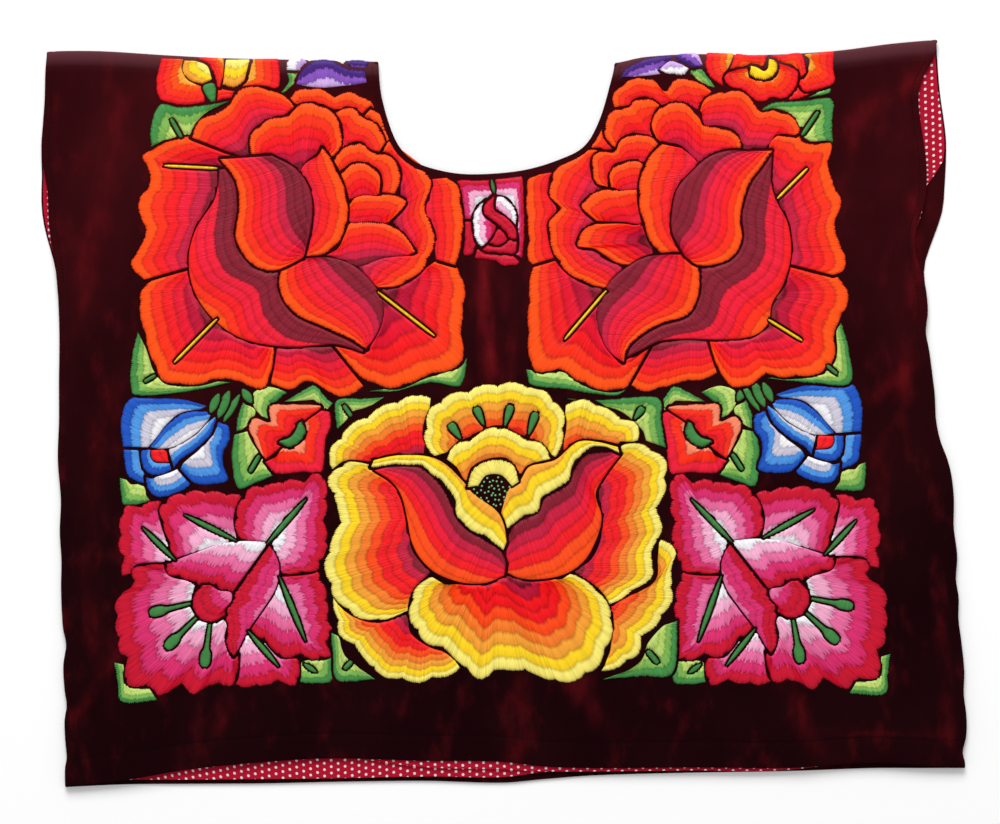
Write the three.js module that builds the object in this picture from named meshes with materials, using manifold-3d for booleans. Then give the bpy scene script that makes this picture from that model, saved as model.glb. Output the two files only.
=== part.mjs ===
// Embroidered velvet blouse, laid flat on its back.
// Units are millimetres. +X points to the wearer's left, which is on the right seen from above,
// +Y to the shoulders and +Z up from the surface that the blouse lies on.
// One length of velvet is folded over the shoulders and sewn down both sides. A cotton lining
// follows it inside. Dense satin-stitch flowers stand on the front.
import * as THREE from 'three';
import { mergeVertices } from 'three/addons/utils/BufferGeometryUtils.js';
import Module from 'manifold-3d';

const wasm = await Module();
wasm.setup();

// Driving dimensions
const VELVET_THICKNESS = 1.5;
const LINING_THICKNESS = 1.0;
const SEAM_GAP = 0.3;
const THREAD_HEIGHT = 1.3;
const THREAD_SLOPE = 1.9;
const PETAL_ROUNDING = 0.9;
const SPRIG_WIDTH = 5;
const OUTLINE_STEP = 22;
const NECK_STEPS = 30;
const CUT_BLOCK = { bottom: -10, height: 30 };
const CUT_MARGIN = 1;
const SAME_POINT = 1e-4;

// Heights worked out from the layers: back velvet, back lining, front lining, front velvet
const MIDDLE_HEIGHT = VELVET_THICKNESS + SEAM_GAP + LINING_THICKNESS + SEAM_GAP / 2;
const LINING_INNER = SEAM_GAP / 2;
const LINING_OUTER = LINING_INNER + LINING_THICKNESS;
const VELVET_INNER = LINING_OUTER + SEAM_GAP;
const VELVET_OUTER = VELVET_INNER + VELVET_THICKNESS;
const THREAD_BASE = MIDDLE_HEIGHT + VELVET_OUTER + SEAM_GAP;

// Side edges from hem to shoulder: x of the front's edge and of the back's edge at each height
const LEFT_EDGE = [
  { y: -290, front: -341.4, back: -341.4 },
  { y: -244, front: -340.6, back: -340.6 },
  { y: -182, front: -340.0, back: -340.0 },
  { y: -106, front: -340.8, back: -340.8 },
  { y: -60, front: -340.2, back: -340.2 },
  { y: -29, front: -341.6, back: -341.6 },
  { y: 15, front: -339.6, back: -339.6 },
  { y: 63, front: -338.3, back: -338.3 },
  { y: 109, front: -339.2, back: -339.5 },
  { y: 140, front: -343.0, back: -344.2 },
  { y: 165, front: -345.6, back: -348.2 },
  { y: 184, front: -344.2, back: -348.9 },
  { y: 209, front: -347.8, back: -348.9 },
  { y: 247, front: -344.8, back: -345.6 },
  { y: 278, front: -343.4, back: -344.0 },
  { y: 286, front: -342.0, back: -342.0 },
];
const RIGHT_EDGE = [
  { y: -290, front: 347.4, back: 347.4 },
  { y: -256, front: 349.0, back: 349.0 },
  { y: -183, front: 346.3, back: 346.3 },
  { y: -121, front: 343.8, back: 343.8 },
  { y: -75, front: 342.6, back: 342.6 },
  { y: -44, front: 339.4, back: 339.4 },
  { y: -14, front: 331.0, back: 331.0 },
  { y: 17, front: 329.3, back: 329.3 },
  { y: 48, front: 327.0, back: 327.0 },
  { y: 92, front: 324.8, back: 324.8 },
  { y: 104, front: 320.3, back: 324.6 },
  { y: 124, front: 318.1, back: 331.8 },
  { y: 145, front: 323.4, back: 338.4 },
  { y: 166, front: 328.6, back: 341.0 },
  { y: 201, front: 326.4, back: 343.5 },
  { y: 232, front: 323.6, back: 339.6 },
  { y: 250, front: 327.0, back: 338.4 },
  { y: 264, front: 336.4, back: 338.0 },
  { y: 286, front: 337.4, back: 337.5 },
];

// Hems from left to right: y of the velvet's and the lining's lower edges, front and back
const HEM = [
  { x: -350, front: -279.4, back: -280.0, frontLining: -272, backLining: -274.0 },
  { x: -297, front: -274.8, back: -278.9, frontLining: -270, backLining: -275.2 },
  { x: -250, front: -268.0, back: -279.6, frontLining: -266.6, backLining: -276.2 },
  { x: -190, front: -263.6, back: -280.6, frontLining: -262.6, backLining: -277.0 },
  { x: -142, front: -262.0, back: -280.6, frontLining: -261, backLining: -277.6 },
  { x: -70, front: -265.4, back: -281.4, frontLining: -270.4, backLining: -277.8 },
  { x: -10, front: -267.4, back: -284.2, frontLining: -273.4, backLining: -279.6 },
  { x: 22, front: -271.8, back: -282.2, frontLining: -275.6, backLining: -276.4 },
  { x: 60, front: -274.0, back: -280.2, frontLining: -276.6, backLining: -275.0 },
  { x: 134, front: -275.2, back: -279.8, frontLining: -277.4, backLining: -275.0 },
  { x: 212, front: -277.2, back: -280.2, frontLining: -278.8, backLining: -275.0 },
  { x: 273, front: -274.8, back: -279.4, frontLining: -273.0, backLining: -273.0 },
  { x: 310, front: -277.6, back: -280.2, frontLining: -272.0, backLining: -273.0 },
  { x: 350, front: -280.4, back: -281.0, frontLining: -273.0, backLining: -274.0 },
];

// Shoulder fold from left to right
const SHOULDER = [
  { x: -350, y: 283.4 },
  { x: -330, y: 283.8 },
  { x: -300, y: 282.8 },
  { x: -250, y: 278.6 },
  { x: -205, y: 275.4 },
  { x: -116, y: 271.6 },
  { x: -90, y: 270.2 },
  { x: 92, y: 264.8 },
  { x: 118, y: 269.0 },
  { x: 157, y: 270.4 },
  { x: 210, y: 268.6 },
  { x: 265, y: 270.4 },
  { x: 310, y: 275.0 },
  { x: 350, y: 277.6 },
];

// Neck edge, from the left shoulder round the scoop to the right shoulder
const NECK = [
  { x: -90, y: 300 },
  { x: -89.8, y: 271 },
  { x: -87.6, y: 242 },
  { x: -78, y: 210 },
  { x: -65, y: 194 },
  { x: -46, y: 186 },
  { x: -20, y: 182 },
  { x: 18, y: 184 },
  { x: 48, y: 192 },
  { x: 67, y: 202 },
  { x: 79, y: 222 },
  { x: 88, y: 250 },
  { x: 92, y: 266 },
  { x: 98, y: 300 },
];

// Rows and columns of the cloth, as distances from the shoulder and from the sides
const ARMHOLE_BOTTOM = 104;
const FRONT_ROWS = [0, 12, 26, 40, 56, 72, 88, 104, 120, 136, 152, 168, 181, 200, 228, 260,
  295, 330, 365, 400, 430, 460, 490, 518, 547];
const BACK_ROWS = [0, 26, 56, 88, 104, 120, 136, 152, 168, 181, 260, 350, 450, 547];
const ROW_LENGTH = 547;
const FOLD_ANGLES = [45, 0, -45];
const VELVET_COLUMNS = [0, 3, 7, 18, 36, 56, 90, 140, 200, 270, 345];
const LINING_COLUMNS = [0, 18, 36, 56, 90, 140, 200, 270, 345];
const COLUMN_WIDTH = 690;

// Soft folds of the front, as ridges from one end to the other
const FOLDS = [
  { place: 'left armhole to shoulder', from: [-308, 128], to: [-302, 206], height: 2.2, width: 9 },
  { place: 'left side low', from: [-324, -110], to: [-320, -214], height: 2.2, width: 9 },
  { place: 'right under the armhole', from: [312, 124], to: [318, 30], height: 1.3, width: 8 },
  { place: 'right side', from: [314, -50], to: [309, -140], height: 2.4, width: 10 },
  { place: 'centre hem', from: [-2, -236], to: [2, -256], height: 2.4, width: 12 },
  { place: 'left hem', from: [-200, -238], to: [-206, -250], height: 1.6, width: 13 },
  { place: 'right hem', from: [214, -242], to: [220, -262], height: 1.8, width: 12 },
];
const STITCHED_AREA = { left: -296, right: 300, bottom: -226, top: 300 };
const FOLD_FADE = 14;

// Side seams: the two layers of velvet close on each other within this width
const SEAM_ROUNDING = 7;
const SEAM_FADE = 12;
const LINING_INSET = { armhole: 1.6, seam: 8 };
const NECK_MARGIN = 4;

// The back's edge is rolled inwards at the foot of the right armhole, and the lining ends there
const ROLLED_EDGE = { bottom: 104, top: 156, height: 2.2, width: 12 };
const ROLLED_LINING = [
  { y: 90, inset: 8 },
  { y: 110, inset: 15.5 },
  { y: 148, inset: 15.5 },
  { y: 160, inset: 15.5 },
  { y: 170, inset: 12 },
  { y: 180, inset: 4 },
  { y: 190, inset: 1.6 },
];

// Large rose and its three leaves
const ROSE = [
  { petal: 'left swirl',
    lip: [[-58, 57], [-47, 41], [-45, 21], [-48, -2], [-38, -21], [-20, -28], [2, -19]],
    foot: [[-19, 59], [-1, 48], [9, 30], [9, 7], [3, -18]] },
  { petal: 'tall centre',
    lip: [[20, 64], [31, 44], [37, 22], [34, 1], [22, -14], [5, -18]],
    foot: [[16, 59], [4, 47], [12, 26], [12, 3], [5, -16]] },
  { petal: 'crown',
    lip: [[-35, 61], [-34, 76], [-22, 86], [-8, 89], [5, 98], [20, 96], [32, 84], [33, 67], [27, 58]],
    foot: [[-22, 62], [-9, 56], [3, 48], [14, 59], [22, 64]] },
  { petal: 'long wrap',
    lip: [[-59, 49], [-63, 28], [-78, 5], [-84, -18], [-80, -43], [-65, -65], [-42, -80], [-9, -86],
      [26, -85], [46, -91]],
    foot: [[-53, 49], [-48, 27], [-50, 0], [-42, -23], [-18, -32], [-16, -50], [-2, -70], [26, -78],
      [46, -88]] },
  { petal: 'right swirl',
    lip: [[1, -21], [-13, -27], [-15, -44], [-4, -61], [18, -72], [37, -81], [49, -89]],
    foot: [[3, -20], [23, -20], [43, -29], [59, -49], [60, -69], [50, -88]] },
  { petal: 'small dome',
    lip: [[34, 27], [32, 41], [40, 50], [53, 51], [62, 42], [62, 30]],
    foot: [[37, 26], [49, 30], [61, 29]] },
  { petal: 'dome arch',
    lip: [[28, 55], [37, 64], [48, 67], [57, 60], [70, 57], [78, 44], [73, 27]],
    foot: [[33, 47], [42, 54], [54, 53], [64, 45], [66, 28]] },
  { petal: 'upper point',
    lip: [[40, 22], [46, 27], [61, 28], [82, 23], [70, 8]],
    foot: [[39, 14], [41, 9], [55, 9], [68, 7]] },
  { petal: 'lower point',
    lip: [[32, -11], [39, 6], [56, 9], [74, 2], [88, -15]],
    foot: [[23, -17], [34, -22], [46, -24], [66, -18], [86, -17]] },
  { petal: 'right back',
    lip: [[70, 61], [86, 52], [101, 36], [96, 15], [103, -4], [95, -27], [78, -40], [61, -43]],
    foot: [[80, 46], [79, 27], [76, 7], [89, -10], [80, -20], [51, -27], [58, -40]] },
  { petal: 'far right',
    lip: [[115, 39], [122, 31], [125, 4], [122, -15], [119, -26]],
    foot: [[102, 38], [98, 15], [104, -5], [106, -22]] },
  { petal: 'crown right',
    lip: [[31, 92], [43, 94], [52, 86], [62, 80], [67, 67], [63, 60]],
    foot: [[35, 80], [35, 65], [47, 68], [59, 61]] },
  { petal: 'top left',
    lip: [[-80, 76], [-72, 88], [-52, 97], [-43, 110], [-24, 111], [-9, 104], [-1, 96]],
    foot: [[-51, 63], [-39, 61], [-37, 77], [-25, 87], [-9, 90], [-2, 95]] },
  { petal: 'top strip',
    lip: [[-5, 102], [3, 109], [19, 109], [29, 104], [43, 106], [57, 98], [60, 90]],
    foot: [[1, 99], [20, 99], [32, 95], [46, 94], [55, 87]] },
  { petal: 'neck side',
    lip: [[64, 85], [71, 74], [82, 63], [94, 48]],
    foot: [[67, 71], [70, 61], [82, 53], [92, 47]] },
  { petal: 'upper left',
    lip: [[-117, 62], [-105, 69], [-86, 75], [-65, 74], [-51, 62]],
    foot: [[-113, 55], [-90, 55], [-62, 54], [-55, 60]] },
  { petal: 'middle left',
    lip: [[-114, 53], [-113, 38], [-122, 27], [-117, 1], [-128, -19], [-120, -32]],
    foot: [[-63, 49], [-63, 25], [-77, 5], [-85, -23]] },
  { petal: 'lower left',
    lip: [[-87, -25], [-107, -30], [-122, -45], [-120, -71], [-112, -99], [-103, -111]],
    foot: [[-83, -27], [-79, -45], [-67, -64], [-85, -83], [-100, -99]] },
  { petal: 'lower left hem',
    lip: [[-101, -112], [-80, -113], [-58, -109], [-39, -116], [-27, -114], [-21, -87]],
    foot: [[-93, -96], [-76, -80], [-63, -68], [-43, -81], [-26, -86]] },
  { petal: 'bottom middle',
    lip: [[-23, -115], [-8, -118], [7, -113], [27, -125], [46, -119]],
    foot: [[-18, -87], [0, -88], [22, -88]] },
  { petal: 'lower right',
    lip: [[105, -24], [120, -30], [125, -49], [122, -73], [123, -93], [119, -102]],
    foot: [[95, -30], [80, -42], [63, -44], [80, -60], [103, -80]] },
  { petal: 'lower right hem',
    lip: [[117, -105], [94, -111], [73, -119], [55, -116], [38, -104], [22, -87]],
    foot: [[100, -84], [82, -69], [62, -52], [61, -72], [50, -92]] },
  { petal: 'leaf above',
    lip: [[-111, 70], [-111, 84], [-104, 100], [-89, 98], [-70, 99], [-52, 102]],
    foot: [[-99, 74], [-88, 73], [-81, 79], [-74, 91]] },
  { petal: 'leaf left',
    lip: [[-125, -74], [-129, -90], [-131, -113], [-125, -121], [-90, -119], [-56, -113]],
    foot: [[-119, -86], [-115, -103], [-103, -114], [-79, -114], [-67, -112]] },
  { petal: 'leaf right',
    lip: [[52, -122], [71, -122], [98, -116], [120, -119], [126, -99]],
    foot: [[67, -120], [90, -114], [113, -108], [123, -102]] },
];

// Lily at the centre front, with a leaf at each corner
const LILY = [
  { petal: 'top left',
    lip: [[-131, 53], [-128, 70], [-113, 85], [-94, 96], [-75, 104], [-54, 106]],
    foot: [[-102, 56], [-85, 60], [-61, 61]] },
  { petal: 'top middle',
    lip: [[-53, 61], [-58, 79], [-49, 100], [-23, 110], [8, 114], [35, 106], [48, 86], [42, 58]],
    foot: [[-44, 63], [-34, 72], [-22, 77], [-3, 84], [18, 76], [36, 61]] },
  { petal: 'top right',
    lip: [[51, 98], [69, 99], [86, 89], [102, 81], [105, 70]],
    foot: [[48, 59], [58, 65], [70, 71], [82, 70], [93, 67]] },
  { petal: 'left side',
    lip: [[-101, 55], [-120, 56], [-132, 42], [-124, 19], [-130, -2], [-136, -19], [-131, -42],
      [-117, -58], [-97, -64], [-76, -58]],
    foot: [[-98, 51], [-80, 33], [-74, 12], [-71, -11], [-59, -30], [-67, -44], [-74, -56]] },
  { petal: 'lower left',
    lip: [[-131, -42], [-129, -58], [-126, -73], [-110, -89], [-98, -104], [-70, -111], [-51, -108],
      [-36, -103]],
    foot: [[-122, -55], [-107, -65], [-79, -61], [-73, -77], [-58, -88], [-43, -92]] },
  { petal: 'bottom',
    lip: [[-57, -32], [-69, -44], [-72, -61], [-64, -78], [-43, -90], [-22, -109], [-2, -103],
      [20, -107], [41, -114], [64, -107], [77, -88], [81, -67], [72, -47], [52, -32]],
    foot: [[-45, -38], [-22, -40], [1, -35], [24, -37], [43, -36]] },
  { petal: 'right side',
    lip: [[93, 66], [110, 64], [124, 52], [124, 33], [118, 15], [120, -3], [111, -17], [114, -31],
      [104, -42], [78, -57]],
    foot: [[89, 55], [77, 40], [76, 20], [77, -3], [69, -21], [55, -32], [66, -43], [73, -53]] },
  { petal: 'lower right',
    lip: [[120, -7], [131, -18], [126, -33], [128, -48], [120, -66], [105, -81], [97, -97], [73, -107]],
    foot: [[118, -20], [118, -35], [106, -46], [83, -58], [83, -76], [81, -93], [75, -103]] },
  { petal: 'cup left',
    lip: [[-96, 53], [-75, 48], [-55, 47], [-43, 34], [-36, 9], [-18, -9], [-1, -22]],
    foot: [[-86, 43], [-72, 21], [-68, -8], [-53, -28], [-26, -36], [-1, -31]] },
  { petal: 'cup right',
    lip: [[88, 57], [74, 54], [59, 45], [49, 32], [33, 21], [21, 6], [4, -7]],
    foot: [[75, 40], [72, 16], [73, -3], [64, -18], [47, -29], [20, -34], [1, -31]] },
  { petal: 'fold left',
    lip: [[-98, 54], [-78, 53], [-53, 52], [-38, 40], [-33, 21], [-18, 4], [1, -11]],
    foot: [[-94, 58], [-76, 60], [-50, 58], [-35, 47], [-20, 29], [-4, 15], [1, -6]] },
  { petal: 'fold right',
    lip: [[89, 61], [74, 63], [59, 55], [45, 41], [31, 31], [18, 16], [4, 2]],
    foot: [[85, 66], [70, 68], [54, 60], [39, 52], [25, 48], [12, 33], [1, 17]] },
  { petal: 'crown',
    lip: [[-42, 59], [-34, 68], [-22, 73], [-4, 81], [15, 73], [30, 67], [37, 57]],
    foot: [[-34, 51], [-28, 43], [-23, 53], [-9, 59], [5, 59], [14, 47], [23, 53]] },
  { petal: 'dome',
    lip: [[-26, 37], [-21, 50], [-6, 56], [8, 52], [12, 40]],
    foot: [[-18, 38], [-12, 45], [-1, 45], [7, 37]] },
  { petal: 'leaf top left',
    lip: [[-125, 84], [-125, 104], [-106, 105], [-90, 106]],
    foot: [[-120, 88], [-114, 97], [-98, 101]] },
  { petal: 'leaf top right',
    lip: [[51, 102], [77, 100], [119, 101], [122, 84], [125, 64]],
    foot: [[78, 96], [96, 90], [109, 78], [112, 69]] },
  { petal: 'leaf low left',
    lip: [[-133, -74], [-132, -91], [-129, -109], [-102, -109]],
    foot: [[-129, -76], [-124, -92], [-112, -101]] },
  { petal: 'leaf low right',
    lip: [[75, -113], [103, -111], [127, -109], [131, -71]],
    foot: [[103, -103], [109, -88], [123, -73]] },
];

// Orchid
const ORCHID = [
  { petal: 'far left',
    lip: [[-75, 8], [-78, 27], [-76, 47], [-75, 60], [-58, 62], [-45, 64]],
    foot: [[-62, 17], [-36, 18], [-39, 30], [-44, 50]] },
  { petal: 'top left',
    lip: [[-33, 19], [-41, 40], [-43, 63], [-23, 70], [-3, 69], [13, 65]],
    foot: [[-19, 23], [-5, 29], [5, 33], [10, 37]] },
  { petal: 'top right inner',
    lip: [[14, 35], [15, 60], [31, 76], [52, 78], [76, 81]],
    foot: [[28, 33], [35, 38], [47, 51], [62, 66]] },
  { petal: 'top right outer',
    lip: [[78, 79], [80, 62], [77, 39], [75, 20], [58, 8]],
    foot: [[66, 63], [53, 46], [41, 32], [44, 20], [47, 9]] },
  { petal: 'right',
    lip: [[48, 5], [69, 6], [77, -11], [77, -34], [79, -57], [62, -59]],
    foot: [[46, 1], [53, -15], [60, -37], [62, -49]] },
  { petal: 'right inner',
    lip: [[60, -58], [42, -57], [30, -44], [20, -30]],
    foot: [[58, -47], [49, -25], [43, -6], [33, -14]] },
  { petal: 'bottom',
    lip: [[10, -80], [27, -78], [43, -80], [55, -78]],
    foot: [[13, -51], [17, -41], [31, -49], [54, -61]] },
  { petal: 'big left',
    lip: [[-46, 14], [-64, 13], [-72, -5], [-80, -20], [-80, -43], [-71, -66], [-51, -77], [-23, -81],
      [0, -76], [7, -57]],
    foot: [[-37, 7], [-24, 3], [-26, -11], [-24, -22], [-14, -30], [-2, -31], [4, -47]] },
  { petal: 'upper lens',
    lip: [[-43, 14], [-27, 6], [-12, 1], [1, -4], [11, 5]],
    foot: [[-32, 17], [-12, 26], [11, 30], [30, 29]] },
  { petal: 'lower lens',
    lip: [[35, 26], [22, 16], [13, 2], [3, -17], [1, -36], [6, -55]],
    foot: [[40, 19], [41, 2], [31, -13], [19, -28], [10, -50]] },
  { petal: 'bud',
    lip: [[-18, -2], [-22, -14], [-18, -24], [-8, -28], [0, -23]],
    foot: [[-12, -1], [-5, -6], [4, -9], [2, -15]] },
  { petal: 'leaf left',
    lip: [[-83, -61], [-79, -88], [-54, -86]],
    foot: [[-78, -65], [-71, -79], [-59, -80]] },
  { petal: 'leaf right',
    lip: [[59, -76], [80, -76], [80, -61]],
    foot: [[59, -64], [66, -68], [72, -63]] },
];

// Blue flower
const BLUE_FLOWER = [
  { petal: 'top',
    lip: [[-37, 4], [-41, 14], [-38, 35], [-19, 38], [21, 33]],
    foot: [[-21, 2], [-17, 12], [-9, 23], [2, 29]] },
  { petal: 'upper middle',
    lip: [[-18, 1], [-13, 12], [4, 26], [25, 26]],
    foot: [[-5, 3], [11, 10], [23, 21]] },
  { petal: 'lower middle',
    lip: [[0, -14], [11, -8], [27, 8], [32, 19]],
    foot: [[-3, -3], [8, 1], [22, 10], [30, 20]] },
  { petal: 'right',
    lip: [[34, 16], [41, 4], [37, -11], [40, -27], [22, -29], [8, -21]],
    foot: [[30, 8], [23, -2], [14, -10], [5, -16]] },
  { petal: 'bottom',
    lip: [[-21, -28], [-19, -38], [-4, -36], [9, -29]],
    foot: [[-13, -25], [-2, -22], [4, -20]] },
  { petal: 'cup',
    lip: [[-25, -2], [-20, -14], [-13, -22], [-3, -16]],
    foot: [[-20, -1], [-17, -10], [-10, -15], [-6, -13]] },
  { petal: 'left',
    lip: [[-40, -1], [-39, -16], [-30, -25], [-23, -26]],
    foot: [[-28, -1], [-29, -11], [-23, -21]] },
  { petal: 'heart',
    lip: [[-18, -2], [-16, -8], [-10, -12]],
    foot: [[-6, -2], [-6, -7], [-6, -13]] },
  { petal: 'leaf',
    lip: [[-43, -25], [-39, -42], [-22, -44]],
    foot: [[-38, -28], [-31, -34], [-22, -32]] },
  { sprig: 'inner', from: [27, 26], to: [32, 36] },
  { sprig: 'middle', from: [36, 22], to: [41, 35] },
  { sprig: 'outer', from: [41, 20], to: [48, 35] },
];

// Small red flower with four leaves
const SMALL_FLOWER = [
  { petal: 'upper',
    lip: [[-25, -6], [-30, 8], [-26, 14], [-13, 16], [-11, 24], [8, 25], [22, 23]],
    foot: [[-19, -13], [-8, -3], [4, 8], [19, 20]] },
  { petal: 'lower',
    lip: [[25, 20], [31, 13], [28, -2], [26, -19], [23, -25], [-1, -26], [-14, -23], [-18, -17]],
    foot: [[15, 13], [8, -2], [-3, -11], [-12, -16]] },
  { petal: 'leaf left',
    lip: [[-32, 4], [-38, -7], [-40, -24], [-37, -37], [-15, -30]],
    foot: [[-28, -2], [-22, -11], [-23, -22], [-19, -24]] },
  { petal: 'leaf upper',
    lip: [[-37, 6], [-37, 21], [-31, 28]],
    foot: [[-33, 9], [-29, 19], [-28, 27]] },
  { petal: 'leaf top',
    lip: [[-23, 35], [-16, 39], [-3, 34]],
    foot: [[-22, 27], [-15, 20], [-7, 28]] },
  { petal: 'leaf right',
    lip: [[-1, 28], [9, 35], [21, 38], [31, 27]],
    foot: [[7, 27], [17, 30], [26, 24]] },
];

// Bud under the neck
const BUD = [
  { petal: 'frame left',
    lip: [[-2, 31], [-24, 31], [-23, 14], [-19, 4]],
    foot: [[-3, 20], [-10, 14], [-14, 9], [-15, 4]] },
  { petal: 'strip left',
    lip: [[-21, 0], [-19, -13], [-20, -23]],
    foot: [[-16, 0], [-16, -13], [-10, -20]] },
  { petal: 'frame right',
    lip: [[5, 31], [22, 31], [23, 5], [21, -25]],
    foot: [[6, 21], [16, 13], [21, -7], [19, -24]] },
  { petal: 'pale left',
    lip: [[-7, 14], [-12, 6], [-13, -10], [-10, -16]],
    foot: [[-6, 5], [-2, -3], [-1, -11]] },
  { petal: 'pale right',
    lip: [[5, 17], [13, 13], [18, 3], [17, -4]],
    foot: [[3, 12], [5, 8], [11, 3]] },
  { petal: 'curl',
    lip: [[0, 17], [-4, 9], [-2, 1], [6, -4], [15, -14]],
    foot: [[1, 12], [2, 7], [10, 1], [17, -9]] },
  { petal: 'dome',
    lip: [[0, -14], [3, -8], [8, -7], [11, -11]],
    foot: [[4, -15], [9, -14]] },
  { petal: 'lower lip',
    lip: [[-11, -24], [-9, -29], [5, -31], [18, -32]],
    foot: [[-6, -24], [4, -25], [15, -29]] },
  { petal: 'lower bowl',
    lip: [[-7, -20], [-1, -22], [12, -23], [17, -20]],
    foot: [[0, -18], [9, -18], [15, -16]] },
];

// Flower over the left shoulder
const SHOULDER_LEFT = [
  { petal: 'left',
    lip: [[-44, 16], [-48, 1], [-45, -14], [-27, -19], [-13, -17]],
    foot: [[-29, 15], [-30, 8], [-25, -1], [-13, -7]] },
  { petal: 'egg',
    lip: [[-27, 14], [-29, 6], [-23, 0], [-12, -3]],
    foot: [[-18, 14], [-10, 10], [-7, 1]] },
  { petal: 'strip',
    lip: [[-15, 16], [-7, 11], [-3, 1], [-2, -5]],
    foot: [[2, 15], [2, 8], [0, -5]] },
  { petal: 'cup',
    lip: [[3, -4], [11, -6], [18, -2]],
    foot: [[6, 14], [14, 14], [22, 14]] },
  { petal: 'right',
    lip: [[-2, -16], [15, -13], [32, -8], [45, -6], [45, 14]],
    foot: [[-2, -8], [15, -9], [23, 2], [26, 14]] },
];

// Violet on the left shoulder
const VIOLET_LEFT = [
  { petal: 'body',
    lip: [[-18, -4], [-11, 4], [3, 7], [18, 3], [31, 1]],
    foot: [[-18, -9], [-1, -10], [14, -9], [28, -6]] },
  { petal: 'white',
    lip: [[-28, 2], [-29, 8], [-15, 9]],
    foot: [[-21, 2], [-14, 6]] },
  { petal: 'leaf',
    lip: [[-33, -13], [-30, -3], [-23, 1]],
    foot: [[-26, -9], [-22, -3]] },
];

// Flower over the right shoulder
const SHOULDER_RIGHT = [
  { petal: 'left',
    lip: [[-47, 16], [-46, 5], [-38, -4]],
    foot: [[-30, 16], [-31, 11], [-36, 4]] },
  { petal: 'cup',
    lip: [[-34, 5], [-28, -5], [-13, -14], [12, -13], [21, 0]],
    foot: [[-25, 7], [-16, 6], [-11, -1], [2, -1], [9, 7], [20, 6]] },
  { petal: 'upper left',
    lip: [[-26, 16], [-13, 16], [-3, 15]],
    foot: [[-30, 8], [-17, 10], [-7, 11]] },
  { petal: 'upper right',
    lip: [[6, 15], [23, 16], [25, 3]],
    foot: [[8, 11], [15, 10], [21, 6]] },
  { petal: 'crescent',
    lip: [[-14, 6], [-9, 2], [-1, 2], [5, 11]],
    foot: [[-11, 9], [-6, 6], [-1, 8], [1, 14]] },
  { petal: 'right',
    lip: [[49, 16], [48, -2], [36, -9], [24, -6]],
    foot: [[28, 15], [30, 5], [25, 0]] },
  { petal: 'lower',
    lip: [[7, -17], [24, -16], [33, -11]],
    foot: [[13, -15], [21, -8], [26, -10]] },
  { petal: 'leaf',
    lip: [[30, -15], [46, -13], [46, -9]],
    foot: [[33, -13], [40, -10]] },
];

// Violet on the right shoulder
const VIOLET_RIGHT = [
  { petal: 'body',
    lip: [[-31, 1], [-17, 4], [6, 5], [27, 6]],
    foot: [[-32, -7], [-9, -5], [10, -4], [26, -1]] },
  { petal: 'leaf',
    lip: [[21, -2], [31, -4], [38, -15]],
    foot: [[22, -6], [30, -11]] },
];

// A number between 0 and 1 that eases in and out
function ease(value) {
  const t = Math.min(1, Math.max(0, value));
  return t * t * (3 - 2 * t);
}

// A value read from a table, on a smooth curve through its rows
function readTable(rows, along, column, at) {
  const last = rows.length - 1;
  let i = 0;
  while (i < last - 1 && at > rows[i + 1][along]) i += 1;
  const slope = (k) => {
    const before = rows[Math.max(0, k - 1)];
    const after = rows[Math.min(last, k + 1)];
    return (after[column] - before[column]) / (after[along] - before[along]);
  };
  const span = rows[i + 1][along] - rows[i][along];
  const t = Math.min(1, Math.max(0, (at - rows[i][along]) / span));
  const rise = rows[i + 1][column] - rows[i][column];
  const bend = t * (1 - t);
  const startTurn = slope(i) * span - rise;
  const endTurn = rise - slope(i + 1) * span;
  return rows[i][column] + rise * t + bend * ((1 - t) * startTurn + t * endTurn);
}

// Height that the soft folds lift the front by
function foldLift(x, y) {
  const outside = Math.max(
    STITCHED_AREA.left - x, x - STITCHED_AREA.right, STITCHED_AREA.bottom - y, y - STITCHED_AREA.top);
  const free = ease(outside / FOLD_FADE);
  let lift = 0;
  for (const fold of FOLDS) {
    const dx = fold.to[0] - fold.from[0];
    const dy = fold.to[1] - fold.from[1];
    const length = Math.hypot(dx, dy);
    const along = ((x - fold.from[0]) * dx + (y - fold.from[1]) * dy) / length;
    const across = ((x - fold.from[0]) * dy - (y - fold.from[1]) * dx) / length;
    const past = Math.max(0, -along, along - length);
    const reach = Math.hypot(across, past) / fold.width;
    lift += fold.height * Math.exp(-reach * reach);
  }
  return lift * free;
}

// Ridge of the rolled edge, from the distance to the back's right edge
function rollLift(fromEdge, y) {
  const along = (y - ROLLED_EDGE.bottom) / (ROLLED_EDGE.top - ROLLED_EDGE.bottom);
  const across = fromEdge / ROLLED_EDGE.width;
  if (along <= 0 || along >= 1 || across >= 1) return 0;
  return ROLLED_EDGE.height * Math.sin(Math.PI * along) * (1 - across * across);
}

// How far the lining stays inside the velvet's side edge
function liningInset(y) {
  const sewn = ease((ARMHOLE_BOTTOM - y) / SEAM_FADE);
  return LINING_INSET.armhole + (LINING_INSET.seam - LINING_INSET.armhole) * sewn;
}

function rolledInset(y) {
  if (y > ROLLED_EDGE.top || y < ROLLED_LINING[0].y) return liningInset(y);
  return readTable(ROLLED_LINING, 'y', 'inset', y);
}

// A place on the cloth seen from above, by its share of the width and its row
function clothPlace(across, row) {
  const guess = (across - 0.5) * COLUMN_WIDTH;
  const foldLine = readTable(SHOULDER, 'x', 'y', guess) - VELVET_OUTER;
  const layer = row.layer === 'fold' ? 'back' : row.layer;
  const hem = readTable(HEM, 'x', layer, guess);
  const y = foldLine + (hem - foldLine) * row.fall;
  const left = readTable(LEFT_EDGE, 'y', layer, y);
  const right = readTable(RIGHT_EDGE, 'y', layer, y);
  return { x: left + (right - left) * across, y, left, right, guess, layer };
}

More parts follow.
